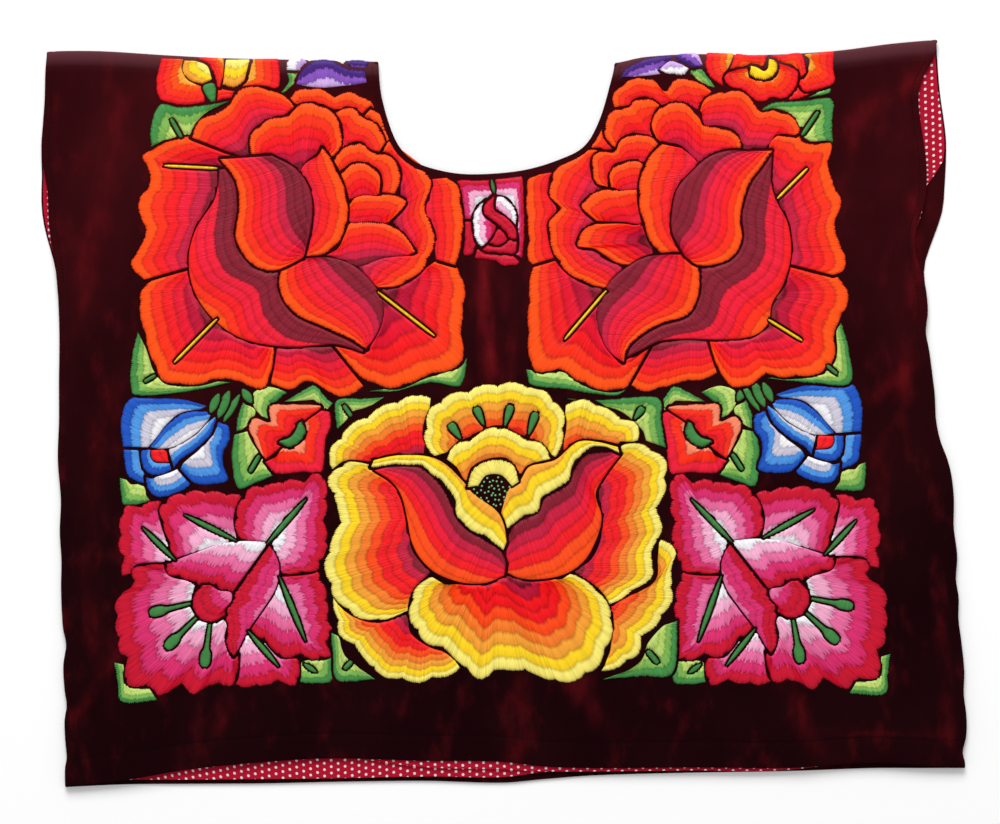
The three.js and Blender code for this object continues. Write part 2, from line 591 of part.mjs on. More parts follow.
// A point round the shoulder fold, at a distance from the fold's own line
function foldPoint(x, y, angle, radius) {
  const turn = THREE.MathUtils.degToRad(angle);
  return [x, y + radius * Math.cos(turn), MIDDLE_HEIGHT + radius * Math.sin(turn)];
}

// A point of the velvet: the radius is its distance from the middle between the layers
function velvetPoint(across, row, radius) {
  const { x, y, left, right, layer } = clothPlace(across, row);
  if (row.layer === 'fold') return foldPoint(x, y, row.angle, radius);
  const sewn = ease((ARMHOLE_BOTTOM - y) / SEAM_FADE);
  const closing = Math.max(0, 1 - Math.min(x - left, right - x) / SEAM_ROUNDING) ** 2 * sewn;
  const reach = radius - closing * (VELVET_INNER - LINING_INNER);
  if (layer === 'front') return [x, y, MIDDLE_HEIGHT + reach + foldLift(x, y)];
  const roll = radius === VELVET_INNER ? rollLift(right - x, y) : 0;
  return [x, y, MIDDLE_HEIGHT - reach + roll];
}

// A point of the lining: it follows the velvet, and stays inside its edges
function liningPoint(across, row, radius) {
  const place = clothPlace(across, row);
  const { left, right, guess, layer } = place;
  const y = row.fall === 1 ? readTable(HEM, 'x', `${layer}Lining`, guess) : place.y;
  const rightInset = layer === 'back' ? rolledInset(y) : liningInset(y);
  const x = Math.min(right - rightInset, Math.max(left + liningInset(y), place.x));
  if (row.layer === 'fold') return foldPoint(x, y, row.angle, radius);
  if (layer === 'front') return [x, y, MIDDLE_HEIGHT + radius + foldLift(x, y)];
  return [x, y, MIDDLE_HEIGHT - radius];
}

// Rows from the front hem up, over the shoulder fold and down to the back hem
const front = FRONT_ROWS.map((d) => ({ layer: 'front', fall: d / ROW_LENGTH })).reverse();
const fold = FOLD_ANGLES.map((angle) => ({ layer: 'fold', fall: 0, angle }));
const back = BACK_ROWS.map((d) => ({ layer: 'back', fall: d / ROW_LENGTH }));
const CLOTH_ROWS = [...front, ...fold, ...back];

// Columns as shares of the width, the same from both sides
function clothColumns(distances) {
  const left = distances.map((d) => d / COLUMN_WIDTH);
  const right = left.slice(0, -1).reverse().map((share) => 1 - share);
  return [...left, ...right];
}

// A cloth wall: an outer and an inner face over the same grid, closed round its border
function clothGeometry(point, columns, outerRadius, innerRadius) {
  const positions = [];
  for (const radius of [outerRadius, innerRadius]) {
    for (const row of CLOTH_ROWS) {
      for (const across of columns) positions.push(...point(across, row, radius));
    }
  }
  const width = columns.length;
  const face = CLOTH_ROWS.length * width;
  const faces = [];
  const quad = (a, b, c, d) => faces.push(a, b, c, a, c, d);
  for (let r = 0; r < CLOTH_ROWS.length - 1; r += 1) {
    for (let c = 0; c < width - 1; c += 1) {
      const a = r * width + c;
      quad(a, a + 1, a + width + 1, a + width);
      quad(face + a, face + a + width, face + a + width + 1, face + a + 1);
    }
    const start = r * width;
    const end = start + width - 1;
    quad(start, start + width, face + start + width, face + start);
    quad(end, face + end, face + end + width, end + width);
  }
  const top = (CLOTH_ROWS.length - 1) * width;
  for (let c = 0; c < width - 1; c += 1) {
    quad(c, face + c, face + c + 1, c + 1);
    quad(top + c, top + c + 1, face + top + c + 1, face + top + c);
  }
  const geometry = new THREE.BufferGeometry();
  geometry.setAttribute('position', new THREE.Float32BufferAttribute(positions, 3));
  geometry.setIndex(faces);
  return geometry;
}

// Closed geometry as a solid that can be joined and cut
function toSolid(geometry) {
  const bare = geometry.clone();
  bare.deleteAttribute('normal');
  bare.deleteAttribute('uv');
  const merged = mergeVertices(bare, SAME_POINT);
  const mesh = new wasm.Mesh({
    numProp: 3,
    vertProperties: new Float32Array(merged.attributes.position.array),
    triVerts: new Uint32Array(merged.index.array),
  });
  return new wasm.Manifold(mesh);
}

function toGeometry(solid) {
  const mesh = solid.getMesh();
  const geometry = new THREE.BufferGeometry();
  geometry.setAttribute('position', new THREE.BufferAttribute(mesh.vertProperties, 3));
  geometry.setIndex(new THREE.BufferAttribute(mesh.triVerts, 1));
  geometry.computeVertexNormals();
  return geometry;
}

// The neck's scoop as an upright block, grown for the lining so that the velvet hides its edge,
// and for the flowers so that a margin of plain velvet is left along it
function neckBlock(growth) {
  const curve = new THREE.SplineCurve(NECK.map((p) => new THREE.Vector2(p.x, p.y)));
  const points = curve.getPoints(NECK_STEPS);
  const grown = points.map((p, i) => {
    const before = points[Math.max(0, i - 1)];
    const after = points[Math.min(points.length - 1, i + 1)];
    const along = after.clone().sub(before).normalize();
    return new THREE.Vector2(p.x + along.y * growth, p.y - along.x * growth);
  });
  const block = new THREE.ExtrudeGeometry(
    new THREE.Shape(grown), { depth: CUT_BLOCK.height, bevelEnabled: false });
  block.translate(0, 0, CUT_BLOCK.bottom);
  return toSolid(block);
}

// Outline of a petal: along its lip and back along its foot
function petalOutline(petal) {
  const side = (points) => {
    const curve = new THREE.SplineCurve(points.map(([x, y]) => new THREE.Vector2(x, y)));
    return curve.getPoints(Math.max(3, Math.round(curve.getLength() / OUTLINE_STEP)));
  };
  return [...side(petal.lip), ...side(petal.foot).reverse()];
}

// Outline of a sprig: a slim lens from end to end
function sprigOutline(sprig) {
  const from = new THREE.Vector2(...sprig.from);
  const to = new THREE.Vector2(...sprig.to);
  const side = to.clone().sub(from).normalize();
  side.set(-side.y, side.x).multiplyScalar(SPRIG_WIDTH / 2);
  const middle = from.clone().lerp(to, 0.5);
  return [from, middle.clone().add(side), to, middle.clone().sub(side)];
}

// An outline moved outwards, or inwards for a negative distance
function growOutline(outline, distance) {
  const count = outline.length;
  return outline.map((p, i) => {
    const before = outline[(i + count - 1) % count];
    const after = outline[(i + 1) % count];
    const inward = p.clone().sub(before).normalize();
    const outward = after.clone().sub(p).normalize();
    const along = inward.add(outward).normalize();
    return new THREE.Vector2(p.x + along.y * distance, p.y - along.x * distance);
  });
}

// A closed body through outlines of the same number of points at rising heights
function stackGeometry(plain, levels) {
  const count = plain.length;
  const positions = [];
  for (const level of levels) {
    for (const p of level.outline) positions.push(p.x, p.y, level.z);
  }
  const faces = [];
  for (let level = 0; level < levels.length - 1; level += 1) {
    for (let i = 0; i < count; i += 1) {
      const a = level * count + i;
      const b = level * count + (i + 1) % count;
      faces.push(a, b, b + count, a, b + count, a + count);
    }
  }
  const top = (levels.length - 1) * count;
  for (const [a, b, c] of THREE.ShapeUtils.triangulateShape(plain, [])) {
    faces.push(c, b, a);
    faces.push(top + a, top + b, top + c);
  }
  const geometry = new THREE.BufferGeometry();
  geometry.setAttribute('position', new THREE.Float32BufferAttribute(positions, 3));
  geometry.setIndex(faces);
  return geometry;
}

// One petal of padded satin stitch: its sides slope down until they meet those of its neighbours
function petalSolid(outline) {
  return toSolid(stackGeometry(outline, [
    { outline: growOutline(outline, THREAD_SLOPE), z: THREAD_BASE },
    { outline: growOutline(outline, -PETAL_ROUNDING), z: THREAD_BASE + THREAD_HEIGHT },
  ]));
}

// The outlines of a motif in its place, counter-clockwise, mirrored where asked
function motifOutlines(motif, at) {
  return motif.map((row) => {
    const outline = row.lip ? petalOutline(row) : sprigOutline(row);
    const placed = outline.map((p) => new THREE.Vector2(at.x + (at.mirror ? -p.x : p.x), at.y + p.y));
    return THREE.ShapeUtils.isClockWise(placed) ? placed.reverse() : placed;
  });
}

// The space that a finished motif keeps clear for its neighbours
function motifClearance(outlines) {
  return wasm.Manifold.union(outlines.map((outline) => {
    const wide = growOutline(outline, THREAD_SLOPE + SEAM_GAP);
    return toSolid(stackGeometry(outline, [
      { outline: wide, z: THREAD_BASE - CUT_MARGIN },
      { outline: wide, z: THREAD_BASE + THREAD_HEIGHT + CUT_MARGIN },
    ]));
  }));
}

const MOTIFS = [
  { node: 'rose_left', motif: ROSE, x: -153, y: 140, colour: 0xe8361f },
  { node: 'rose_right', motif: ROSE, x: 142, y: 132, mirror: true, colour: 0xe8361f },
  { node: 'bud_centre', motif: BUD, x: -5, y: 146, colour: 0xcf2348 },
  { node: 'lily_centre', motif: LILY, x: -2, y: -93, colour: 0xe9b32c },
  { node: 'orchid_left', motif: ORCHID, x: -217, y: -127, colour: 0xd83a74 },
  { node: 'orchid_right', motif: ORCHID, x: 207, y: -134, mirror: true, colour: 0xd83a74 },
  { node: 'blue_flower_left', motif: BLUE_FLOWER, x: -251, y: -21, colour: 0x3c72c8 },
  { node: 'blue_flower_right', motif: BLUE_FLOWER, x: 233, y: -22, mirror: true, colour: 0x3c72c8 },
  { node: 'small_flower_left', motif: SMALL_FLOWER, x: -164, y: -16, colour: 0xe0422f },
  { node: 'small_flower_right', motif: SMALL_FLOWER, x: 151, y: -23, mirror: true, colour: 0xe0422f },
  { node: 'shoulder_flower_left', motif: SHOULDER_LEFT, x: -211, y: 259, colour: 0xea6a26 },
  { node: 'shoulder_flower_right', motif: SHOULDER_RIGHT, x: 209, y: 250, colour: 0xea6a26 },
  { node: 'violet_left', motif: VIOLET_LEFT, x: -130, y: 263, colour: 0x6a3fa0 },
  { node: 'violet_right', motif: VIOLET_RIGHT, x: 128, y: 261, colour: 0x6a3fa0 },
];

const VELVET = { colour: 0x3a060d, roughness: 0.75 };
const LINING = { colour: 0xbe1432, roughness: 0.85 };
const THREAD_ROUGHNESS = 0.6;
const LEAF_COLOUR = 0x3f8a45;

const blouse = new THREE.Group();

function addPiece(name, solid, finish) {
  const { colour, roughness } = finish;
  const material = new THREE.MeshStandardMaterial({ color: colour, roughness, metalness: 0 });
  const mesh = new THREE.Mesh(toGeometry(solid), material);
  mesh.name = name;
  blouse.add(mesh);
}

// Velvet body, front and back in one piece
const velvetWall = clothGeometry(
  velvetPoint, clothColumns(VELVET_COLUMNS), VELVET_OUTER, VELVET_INNER);
addPiece('velvet_body', toSolid(velvetWall).subtract(neckBlock(0)), VELVET);

// Cotton lining, front and back in one piece
const liningWall = clothGeometry(
  liningPoint, clothColumns(LINING_COLUMNS), LINING_OUTER, LINING_INNER);
addPiece('cotton_lining', toSolid(liningWall).subtract(neckBlock(LINING_INSET.armhole)), LINING);

// Embroidered motifs, each kept clear of the ones before it; leaves that stand apart are their own
const neckMargin = neckBlock(NECK_MARGIN);
const finished = [];
for (const at of MOTIFS) {
  const outlines = motifOutlines(at.motif, at);
  let solid = wasm.Manifold.union(outlines.map(petalSolid)).subtract(neckMargin);
  for (const neighbour of finished) solid = solid.subtract(neighbour);
  finished.push(motifClearance(outlines));
  const bodies = solid.decompose().sort((a, b) => b.volume() - a.volume());
  bodies.forEach((body, i) => {
    const name = i === 0 ? at.node : `${at.node}_leaf_${i}`;
    addPiece(name, body, { colour: i === 0 ? at.colour : LEAF_COLOUR, roughness: THREAD_ROUGHNESS });
  });
}

export default blouse;
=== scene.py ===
# %% [markdown]
# # Embroidered velvet blouse, laid flat
# The real blouse is one length of wine-dark velvet folded over the shoulders, with a dotted cotton
# lining inside it and dense satin-stitch flowers on the front. It lies on its back and is seen
# from straight above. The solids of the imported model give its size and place. This lesson makes
# the cloth, the stitches and the light around them.

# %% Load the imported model
import math
import bpy
import numpy as np
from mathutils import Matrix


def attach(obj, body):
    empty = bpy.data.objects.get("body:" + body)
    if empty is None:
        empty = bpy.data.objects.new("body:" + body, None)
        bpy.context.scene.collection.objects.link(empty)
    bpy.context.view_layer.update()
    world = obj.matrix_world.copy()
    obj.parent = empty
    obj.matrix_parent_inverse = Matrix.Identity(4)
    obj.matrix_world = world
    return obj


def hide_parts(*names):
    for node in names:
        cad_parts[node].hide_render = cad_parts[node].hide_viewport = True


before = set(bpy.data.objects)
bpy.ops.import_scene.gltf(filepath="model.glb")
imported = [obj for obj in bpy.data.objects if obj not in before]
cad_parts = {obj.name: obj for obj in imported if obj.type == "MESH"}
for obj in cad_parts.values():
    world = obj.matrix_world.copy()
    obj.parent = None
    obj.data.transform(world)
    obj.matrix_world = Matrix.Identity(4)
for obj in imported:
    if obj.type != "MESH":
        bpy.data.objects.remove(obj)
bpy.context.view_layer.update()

# %% [markdown]
# ## The camera
# The picture was taken from above the middle of the blouse, with the blouse turned a little to the
# left in the frame. A long lens keeps the hem and the shoulders at one scale. Lens and height
# follow from how much of the table the frame takes in.

# %% Camera
FRAME_WIDTH = 0.7666
CAMERA_HEIGHT = 2.2
CAMERA_PLACE = (-0.0025, -0.0001)
CAMERA_TURN = -1.3
SENSOR = 36.0

camera_data = bpy.data.cameras.new("camera")
camera_data.sensor_width = SENSOR
camera_data.lens = SENSOR * CAMERA_HEIGHT / FRAME_WIDTH
camera = bpy.data.objects.new("camera", camera_data)
camera.location = (*CAMERA_PLACE, CAMERA_HEIGHT)
camera.rotation_euler = (0, 0, math.radians(CAMERA_TURN))
bpy.context.scene.collection.objects.link(camera)
bpy.context.scene.camera = camera
print("lens in mm:", round(camera_data.lens, 1))

# %% [markdown]
# ## The table and the light
# The real light is a broad window beyond the shoulders: the only shadow is a soft one below the
# hem. A large area lamp gives it, and a pale sky fills the rest, so that the threads keep their
# colour. The display transform is the plain one, because the others grey the bright reds.

# %% Floor and lamps
def linear(red, green, blue):
    """A colour as seen on a screen, from 0 to 255, as the light that it stands for."""
    return [((c / 255 + 0.055) / 1.055) ** 2.4 if c > 10 else c / 255 / 12.92 for c in (red, green, blue)]


def plain_material(name, colour, roughness):
    material = bpy.data.materials.new(name)
    material.use_nodes = True
    shader = material.node_tree.nodes["Principled BSDF"]
    shader.inputs["Base Color"].default_value = (*linear(*colour), 1)
    shader.inputs["Roughness"].default_value = roughness
    return material, shader


def link(material, source, target):
    material.node_tree.links.new(source, target)


def node(material, kind, **settings):
    made = material.node_tree.nodes.new(kind)
    for name, value in settings.items():
        setattr(made, name, value)
    return made


FLOOR_SIZE = 8
FLOOR_DROP = -0.0004
LAMP = {"place": (-0.2, 2.75, 2.15), "size": 1.7, "power": 108}
SKY = {"colour": (1.0, 1.0, 1.0), "strength": 0.58}

bpy.ops.object.select_all(action="DESELECT")
bpy.ops.mesh.primitive_plane_add(size=FLOOR_SIZE, location=(0, 0, FLOOR_DROP))
floor = bpy.context.object
floor.name = "floor"
floor_paper, floor_shader = plain_material("white paper", (253, 253, 253), 0.9)
grain = node(floor_paper, "ShaderNodeTexNoise")
grain.inputs["Scale"].default_value = 900
relief = node(floor_paper, "ShaderNodeBump")
relief.inputs["Strength"].default_value = 0.02
place = node(floor_paper, "ShaderNodeTexCoord")
link(floor_paper, place.outputs["Object"], grain.inputs["Vector"])
link(floor_paper, grain.outputs["Fac"], relief.inputs["Height"])
link(floor_paper, relief.outputs["Normal"], floor_shader.inputs["Normal"])
floor.data.materials.append(floor_paper)

lamp_data = bpy.data.lights.new("window", "AREA")
lamp_data.size = LAMP["size"]
lamp_data.energy = LAMP["power"]
lamp = bpy.data.objects.new("window", lamp_data)
lamp.location = LAMP["place"]
lamp.rotation_euler = (-lamp.location).to_track_quat("-Z", "Y").to_euler()
bpy.context.scene.collection.objects.link(lamp)

sky = bpy.data.worlds.new("pale sky")
sky.use_nodes = True
sky.node_tree.nodes["Background"].inputs["Color"].default_value = (*SKY["colour"], 1)
sky.node_tree.nodes["Background"].inputs["Strength"].default_value = SKY["strength"]
bpy.context.scene.world = sky
bpy.context.scene.view_settings.view_transform = "Standard"
print("lamp", LAMP["power"], "W, sky", SKY["strength"])

# %% [markdown]
# ## The blouse's outline
# A cutter would draw the outline on the cloth from a few measurements. Here each edge is a short
# table of them, in millimetres, read on a smooth curve. The right armhole gapes, so front and back
# have edges of their own. The rows between two measurements are the small puckers of the seams.

# %% Measurements
def named_rows(columns, rows):
    """The rows of a table, with each value under its column's name."""
    return [dict(zip(columns, row)) for row in rows]


LEFT_EDGE = named_rows(("y", "front", "back"), [
    (-290, -341.4, -341.4), (-266, -341.6, -341.6), (-257, -340.0, -340.0), (-244, -340.8, -340.8),
    (-228, -341.0, -341.0), (-217, -339.0, -339.0), (-206, -340.4, -340.4), (-186, -341.0, -341.0),
    (-170, -338.4, -338.4), (-158, -340.6, -340.6), (-128, -341.4, -341.4), (-106, -340.6, -340.6),
    (-84, -341.4, -341.4), (-60, -340.0, -340.0), (-29, -341.6, -341.6), (2, -340.0, -340.0),
    (30, -339.4, -339.4), (63, -338.3, -338.3), (90, -338.4, -338.5), (109, -339.2, -339.5),
    (124, -340.6, -342.0), (140, -343.0, -346.2), (152, -344.2, -348.8), (165, -344.4, -350.2),
    (178, -344.8, -350.0), (190, -346.6, -349.4), (209, -348.6, -349.4), (228, -347.0, -347.6),
    (247, -345.2, -345.8), (268, -344.2, -344.6), (286, -342.2, -342.2),
])
RIGHT_EDGE = named_rows(("y", "front", "back"), [
    (-290, 346.4, 346.4), (-277, 347.2, 347.2), (-268, 345.6, 345.6), (-256, 348.6, 348.6),
    (-240, 349.0, 349.0), (-224, 347.4, 347.4), (-206, 348.2, 348.2), (-183, 346.4, 346.4),
    (-166, 344.6, 344.6), (-150, 345.2, 345.2), (-136, 343.4, 343.4), (-118, 344.8, 344.8),
    (-96, 342.6, 342.6), (-75, 343.2, 343.2), (-58, 342.0, 342.0), (-44, 339.0, 339.0), (-30, 334.0, 334.0),
    (-14, 331.0, 331.0), (6, 330.4, 330.4), (22, 328.8, 328.8), (40, 326.8, 326.8), (54, 324.6, 324.6),
    (70, 326.6, 326.6), (92, 324.6, 325.0), (104, 320.6, 325.0), (112, 318.4, 327.2), (124, 317.4, 331.8),
    (135, 319.6, 336.2), (145, 323.0, 339.6), (152, 325.6, 341.0), (166, 327.6, 342.2), (185, 327.6, 343.6),
    (201, 325.8, 344.0), (218, 323.6, 342.4), (232, 322.8, 340.6), (241, 324.0, 339.8), (250, 327.6, 339.2),
    (264, 335.4, 338.6), (272, 337.6, 338.4), (286, 338.0, 338.4),
])
HEM = named_rows(("x", "front", "back", "front_lining", "back_lining"), [
    (-350, -279.4, -280.0, -272, -274.0), (-297, -274.8, -278.9, -270, -275.2),
    (-250, -268.0, -279.6, -266.6, -276.2), (-190, -263.6, -280.6, -262.6, -277.0),
    (-142, -262.0, -280.6, -261, -277.6), (-70, -265.4, -281.4, -270.4, -277.8),
    (-10, -267.4, -284.2, -273.4, -279.6), (22, -271.8, -282.2, -275.6, -276.4),
    (60, -274.0, -280.2, -276.6, -275.0), (134, -275.2, -279.8, -277.4, -275.0),
    (212, -277.2, -280.2, -278.8, -275.0), (273, -274.8, -279.4, -273.0, -273.0),
    (310, -277.6, -280.2, -272.0, -273.0), (350, -280.4, -281.0, -273.0, -274.0),
])
SHOULDER = named_rows(("x", "y"), [
    (-350, 283.4), (-330, 283.8), (-300, 282.8), (-250, 278.6), (-205, 275.4), (-116, 271.6), (-90, 270.2),
    (92, 264.8), (118, 269.0), (157, 270.4), (210, 268.6), (265, 270.4), (310, 275.0), (350, 277.6),
])
NECK = [
    (-90, 300), (-89.8, 271), (-87.6, 242), (-78, 210), (-65, 194), (-46, 186), (-20, 182),
    (18, 184), (48, 192), (67, 202), (79, 222), (88, 250), (92, 266), (98, 300),
]


def read_table(rows, along, column, at):
    """Values read from a table, on a smooth curve through its rows."""
    knots = np.array([row[along] for row in rows], float)
    values = np.array([row[column] for row in rows], float)
    last = len(rows) - 1
    before = np.maximum(np.arange(last + 1) - 1, 0)
    after = np.minimum(np.arange(last + 1) + 1, last)
    slopes = (values[after] - values[before]) / (knots[after] - knots[before])
    i = np.clip(np.searchsorted(knots, at) - 1, 0, last - 1)
    span = knots[i + 1] - knots[i]
    t = np.clip((at - knots[i]) / span, 0, 1)
    rise = values[i + 1] - values[i]
    start_turn = slopes[i] * span - rise
    end_turn = rise - slopes[i + 1] * span
    return values[i] + rise * t + t * (1 - t) * ((1 - t) * start_turn + t * end_turn)


def ease(value):
    t = np.clip(value, 0, 1)
    return t * t * (3 - 2 * t)


print("width at the hem:", RIGHT_EDGE[0]["front"] - LEFT_EDGE[0]["front"], "mm")

# %% [markdown]
# ## How the cloth lies
# Four layers lie on each other: back velvet, back lining, front lining, front velvet. A height
# function tells how far the front's outer face is above the table. It is the same for the velvet
# and for all that is stitched on it, so the flowers follow each soft fold.

# %% Layers, folds and waves
MIDDLE = 2.95
VELVET_OUTER = 2.95
VELVET_WALL = 1.35
LINING_OUTER = 1.2
LINING_WALL = 0.9
ARMHOLE_BOTTOM = 104
FOLDS = named_rows(("place", "from", "to", "height", "width"), [
    ("left armhole to shoulder", (-308, 128), (-302, 206), 2.2, 9),
    ("left side low", (-324, -110), (-320, -214), 2.2, 9),
    ("under the right armhole", (312, 124), (318, 30), 1.3, 8),
    ("right side", (314, -50), (309, -140), 2.4, 10),
    ("centre hem", (-2, -236), (2, -256), 2.4, 12),
    ("left hem", (-200, -238), (-206, -250), 1.6, 13),
    ("right hem", (214, -242), (220, -262), 1.8, 12),
])
STITCHED_AREA = {"left": -296, "right": 300, "bottom": -226, "top": 300}
FOLD_FADE = 14
WAVES = {
    "height": 0.3, "across": 310, "along": 270, "lean_across": 600, "lean_along": 500, "flat_border": 45,
}
WAVE_STARTS = (0.7, 0.4)


def along_stroke(x, y, start, end):
    """How far points are along a straight stroke, beside it and past its ends."""
    dx, dy = end[0] - start[0], end[1] - start[1]
    length = math.hypot(dx, dy)
    along = ((x - start[0]) * dx + (y - start[1]) * dy) / length
    beside = ((x - start[0]) * dy - (y - start[1]) * dx) / length
    past = np.maximum(0, np.maximum(-along, along - length))
    return along, beside, past


def fold_lift(x, y):
    area = STITCHED_AREA
    sides = np.maximum(area["left"] - x, x - area["right"])
    ends = np.maximum(area["bottom"] - y, y - area["top"])
    free = ease(np.maximum(sides, ends) / FOLD_FADE)
    lift = 0
    for fold in FOLDS:
        _, beside, past = along_stroke(x, y, fold["from"], fold["to"])
        lift = lift + fold["height"] * np.exp(-(beside**2 + past**2) / fold["width"] ** 2)
    return lift * free


def fold_line(x):
    return read_table(SHOULDER, "x", "y", x) - VELVET_OUTER


def wave_lift(x, y):
    """Long soft waves of cloth that was never ironed quite flat, none along the border."""
    swell = np.sin(2 * np.pi * (x / WAVES["across"] + y / WAVES["lean_along"]) + WAVE_STARTS[0])
    swell = swell * np.cos(2 * np.pi * (y / WAVES["along"] - x / WAVES["lean_across"]) + WAVE_STARTS[1])
    left = x - read_table(LEFT_EDGE, "y", "front", y)
    right = read_table(RIGHT_EDGE, "y", "front", y) - x
    inside = np.minimum(np.minimum(left, right), fold_line(x) - y)
    return WAVES["height"] * (1 + swell) * ease(inside / WAVES["flat_border"])


def front_lift(x, y):
    return fold_lift(x, y) + wave_lift(x, y)


def on_front(x, y, height):
    """Points at a height above the front's outer face; past the shoulder line they go round the fold."""
    line = fold_line(x)
    turn = np.clip((y - line) / VELVET_OUTER, 0, np.pi)
    radius = VELVET_OUTER + height
    flat = turn <= 0
    lift = np.where(flat, front_lift(x, np.minimum(y, line)), 0)
    place_y = np.where(flat, y, line + radius * np.sin(turn))
    place_z = MIDDLE + radius * np.cos(turn) + lift
    return np.stack([x, place_y, place_z], axis=-1)


print("front face above the table:", MIDDLE + VELVET_OUTER, "mm")

# %% [markdown]
# ## Cloth as a sheet with a wall
# A cloth is a plane with many cells, laid in the blouse's form row by row: up the front, over the
# shoulder fold and down the back. Solidify then gives the wall. A simulation would move the edges
# away from their measured places, so the form comes from the functions above.

# %% Rows, columns and the sheet
EDGE_STEPS = [0, 0.5, 1.2, 2.2, 3.6, 5.2, 7, 9, 11.5, 14.5, 18]
HEM_STEPS = [0, 0.5, 1.2, 2.2, 3.6, 5.5, 8, 11, 14.5, 17.6, 19, 20, 21, 22.4]
COLUMN_WIDTH = 690
ROW_LENGTH = 547
FOLD_ANGLES = [67.5, 45, 22.5, 0, -22.5, -45, -67.5]
VELVET_CELL = {"across": 6, "front": 4.5, "back": 9}
MM = 0.001


def shares(edge_steps, width, step):
    """Shares of a width from 0 to 1: fine steps at both borders, even ones between."""
    border = np.array(edge_steps, float) / width
    count = int(round((width - 2 * edge_steps[-1]) / step))
    inner = np.linspace(border[-1], 1 - border[-1], count + 1)[1:-1]
    return np.concatenate([border, inner, 1 - border[::-1]])


def falls(hem_steps, step):
    """Shares of the way from the shoulder to the hem, fine at the hem."""
    border = np.array(hem_steps, float) / ROW_LENGTH
    count = int(round((1 - border[-1]) * ROW_LENGTH / step))
    return np.concatenate([np.linspace(0, 1 - border[-1], count + 1)[:-1], 1 - border[::-1]])


def cloth_rows(front_step, back_step, hem_steps):
    """Rows from the front hem over the fold to the back hem: side of the cloth, fall and angle."""
    front = [(1, fall, 90.0) for fall in falls(hem_steps, front_step)[::-1]]
    fold = [(0, 0.0, angle) for angle in FOLD_ANGLES]
    back = [(-1, fall, -90.0) for fall in falls(hem_steps, back_step)]
    return np.array(front + fold + back)


def select_only(piece):
    bpy.ops.object.select_all(action="DESELECT")
    piece.select_set(True)
    bpy.context.view_layer.objects.active = piece


def put_points(piece, points):
    """A piece's points moved to the given places, in millimetres."""
    piece.data.vertices.foreach_set("co", (points * MM).astype(np.float32).ravel())


def grid_mesh(name, points):
    """A grid of cells whose corners are put at the given points."""
    row_count, column_count = points.shape[:2]
    bpy.ops.object.select_all(action="DESELECT")
    bpy.ops.mesh.primitive_grid_add(x_subdivisions=column_count - 1, y_subdivisions=row_count - 1, size=1)
    grid = bpy.context.object
    grid.name = grid.data.name = name
    put_points(grid, points)
    return grid


def set_map(piece, name, flat):
    """The piece's own flat map, one place for each point."""
    corners = np.empty(len(piece.data.loops), np.int32)
    piece.data.loops.foreach_get("vertex_index", corners)
    layer = piece.data.uv_layers.active
    layer.name = name
    layer.data.foreach_set("uv", flat[corners].astype(np.float32).ravel())


def apply_all(piece):
    select_only(piece)
    for modifier in list(piece.modifiers):
        bpy.ops.object.modifier_apply(modifier=modifier.name)


def turn_faces_out():
    """The faces of the active piece turned outwards."""
    bpy.ops.object.mode_set(mode="EDIT")
    bpy.ops.mesh.select_all(action="SELECT")
    bpy.ops.mesh.normals_make_consistent(inside=False)
    bpy.ops.mesh.select_all(action="DESELECT")
    bpy.ops.object.mode_set(mode="OBJECT")


def give_wall(cloth, thickness):
    """The grid is the outer face, so the wall grows to the inside."""
    wall = cloth.modifiers.new("wall", "SOLIDIFY")
    wall.thickness = thickness * MM
    wall.offset = -1
    wall.use_rim = True
    apply_all(cloth)
    turn_faces_out()


def read_side(rows, along, columns, is_front, at):
    """A table's front column for the front of the cloth, and its back column for the back."""
    front, back = columns
    return np.where(is_front, read_table(rows, along, front, at), read_table(rows, along, back, at))


def cloth_place(across, row_sides, row_falls, hem_columns):
    """Each grid point seen from above, with its distances to both sides."""
    guess = (across[None, :] - 0.5) * COLUMN_WIDTH
    is_front = row_sides[:, None] > 0
    line = fold_line(guess)
    hem = read_side(HEM, "x", hem_columns, is_front, guess)
    y = line + (hem - line) * row_falls[:, None]
    left = read_side(LEFT_EDGE, "y", ("front", "back"), is_front, y)
    right = read_side(RIGHT_EDGE, "y", ("front", "back"), is_front, y)
    x = left + (right - left) * across[None, :]
    return x, y, left, right, line


velvet_columns = shares(EDGE_STEPS, COLUMN_WIDTH, VELVET_CELL["across"])
velvet_rows = cloth_rows(VELVET_CELL["front"], VELVET_CELL["back"], HEM_STEPS)
print("columns:", len(velvet_columns), "rows:", len(velvet_rows))
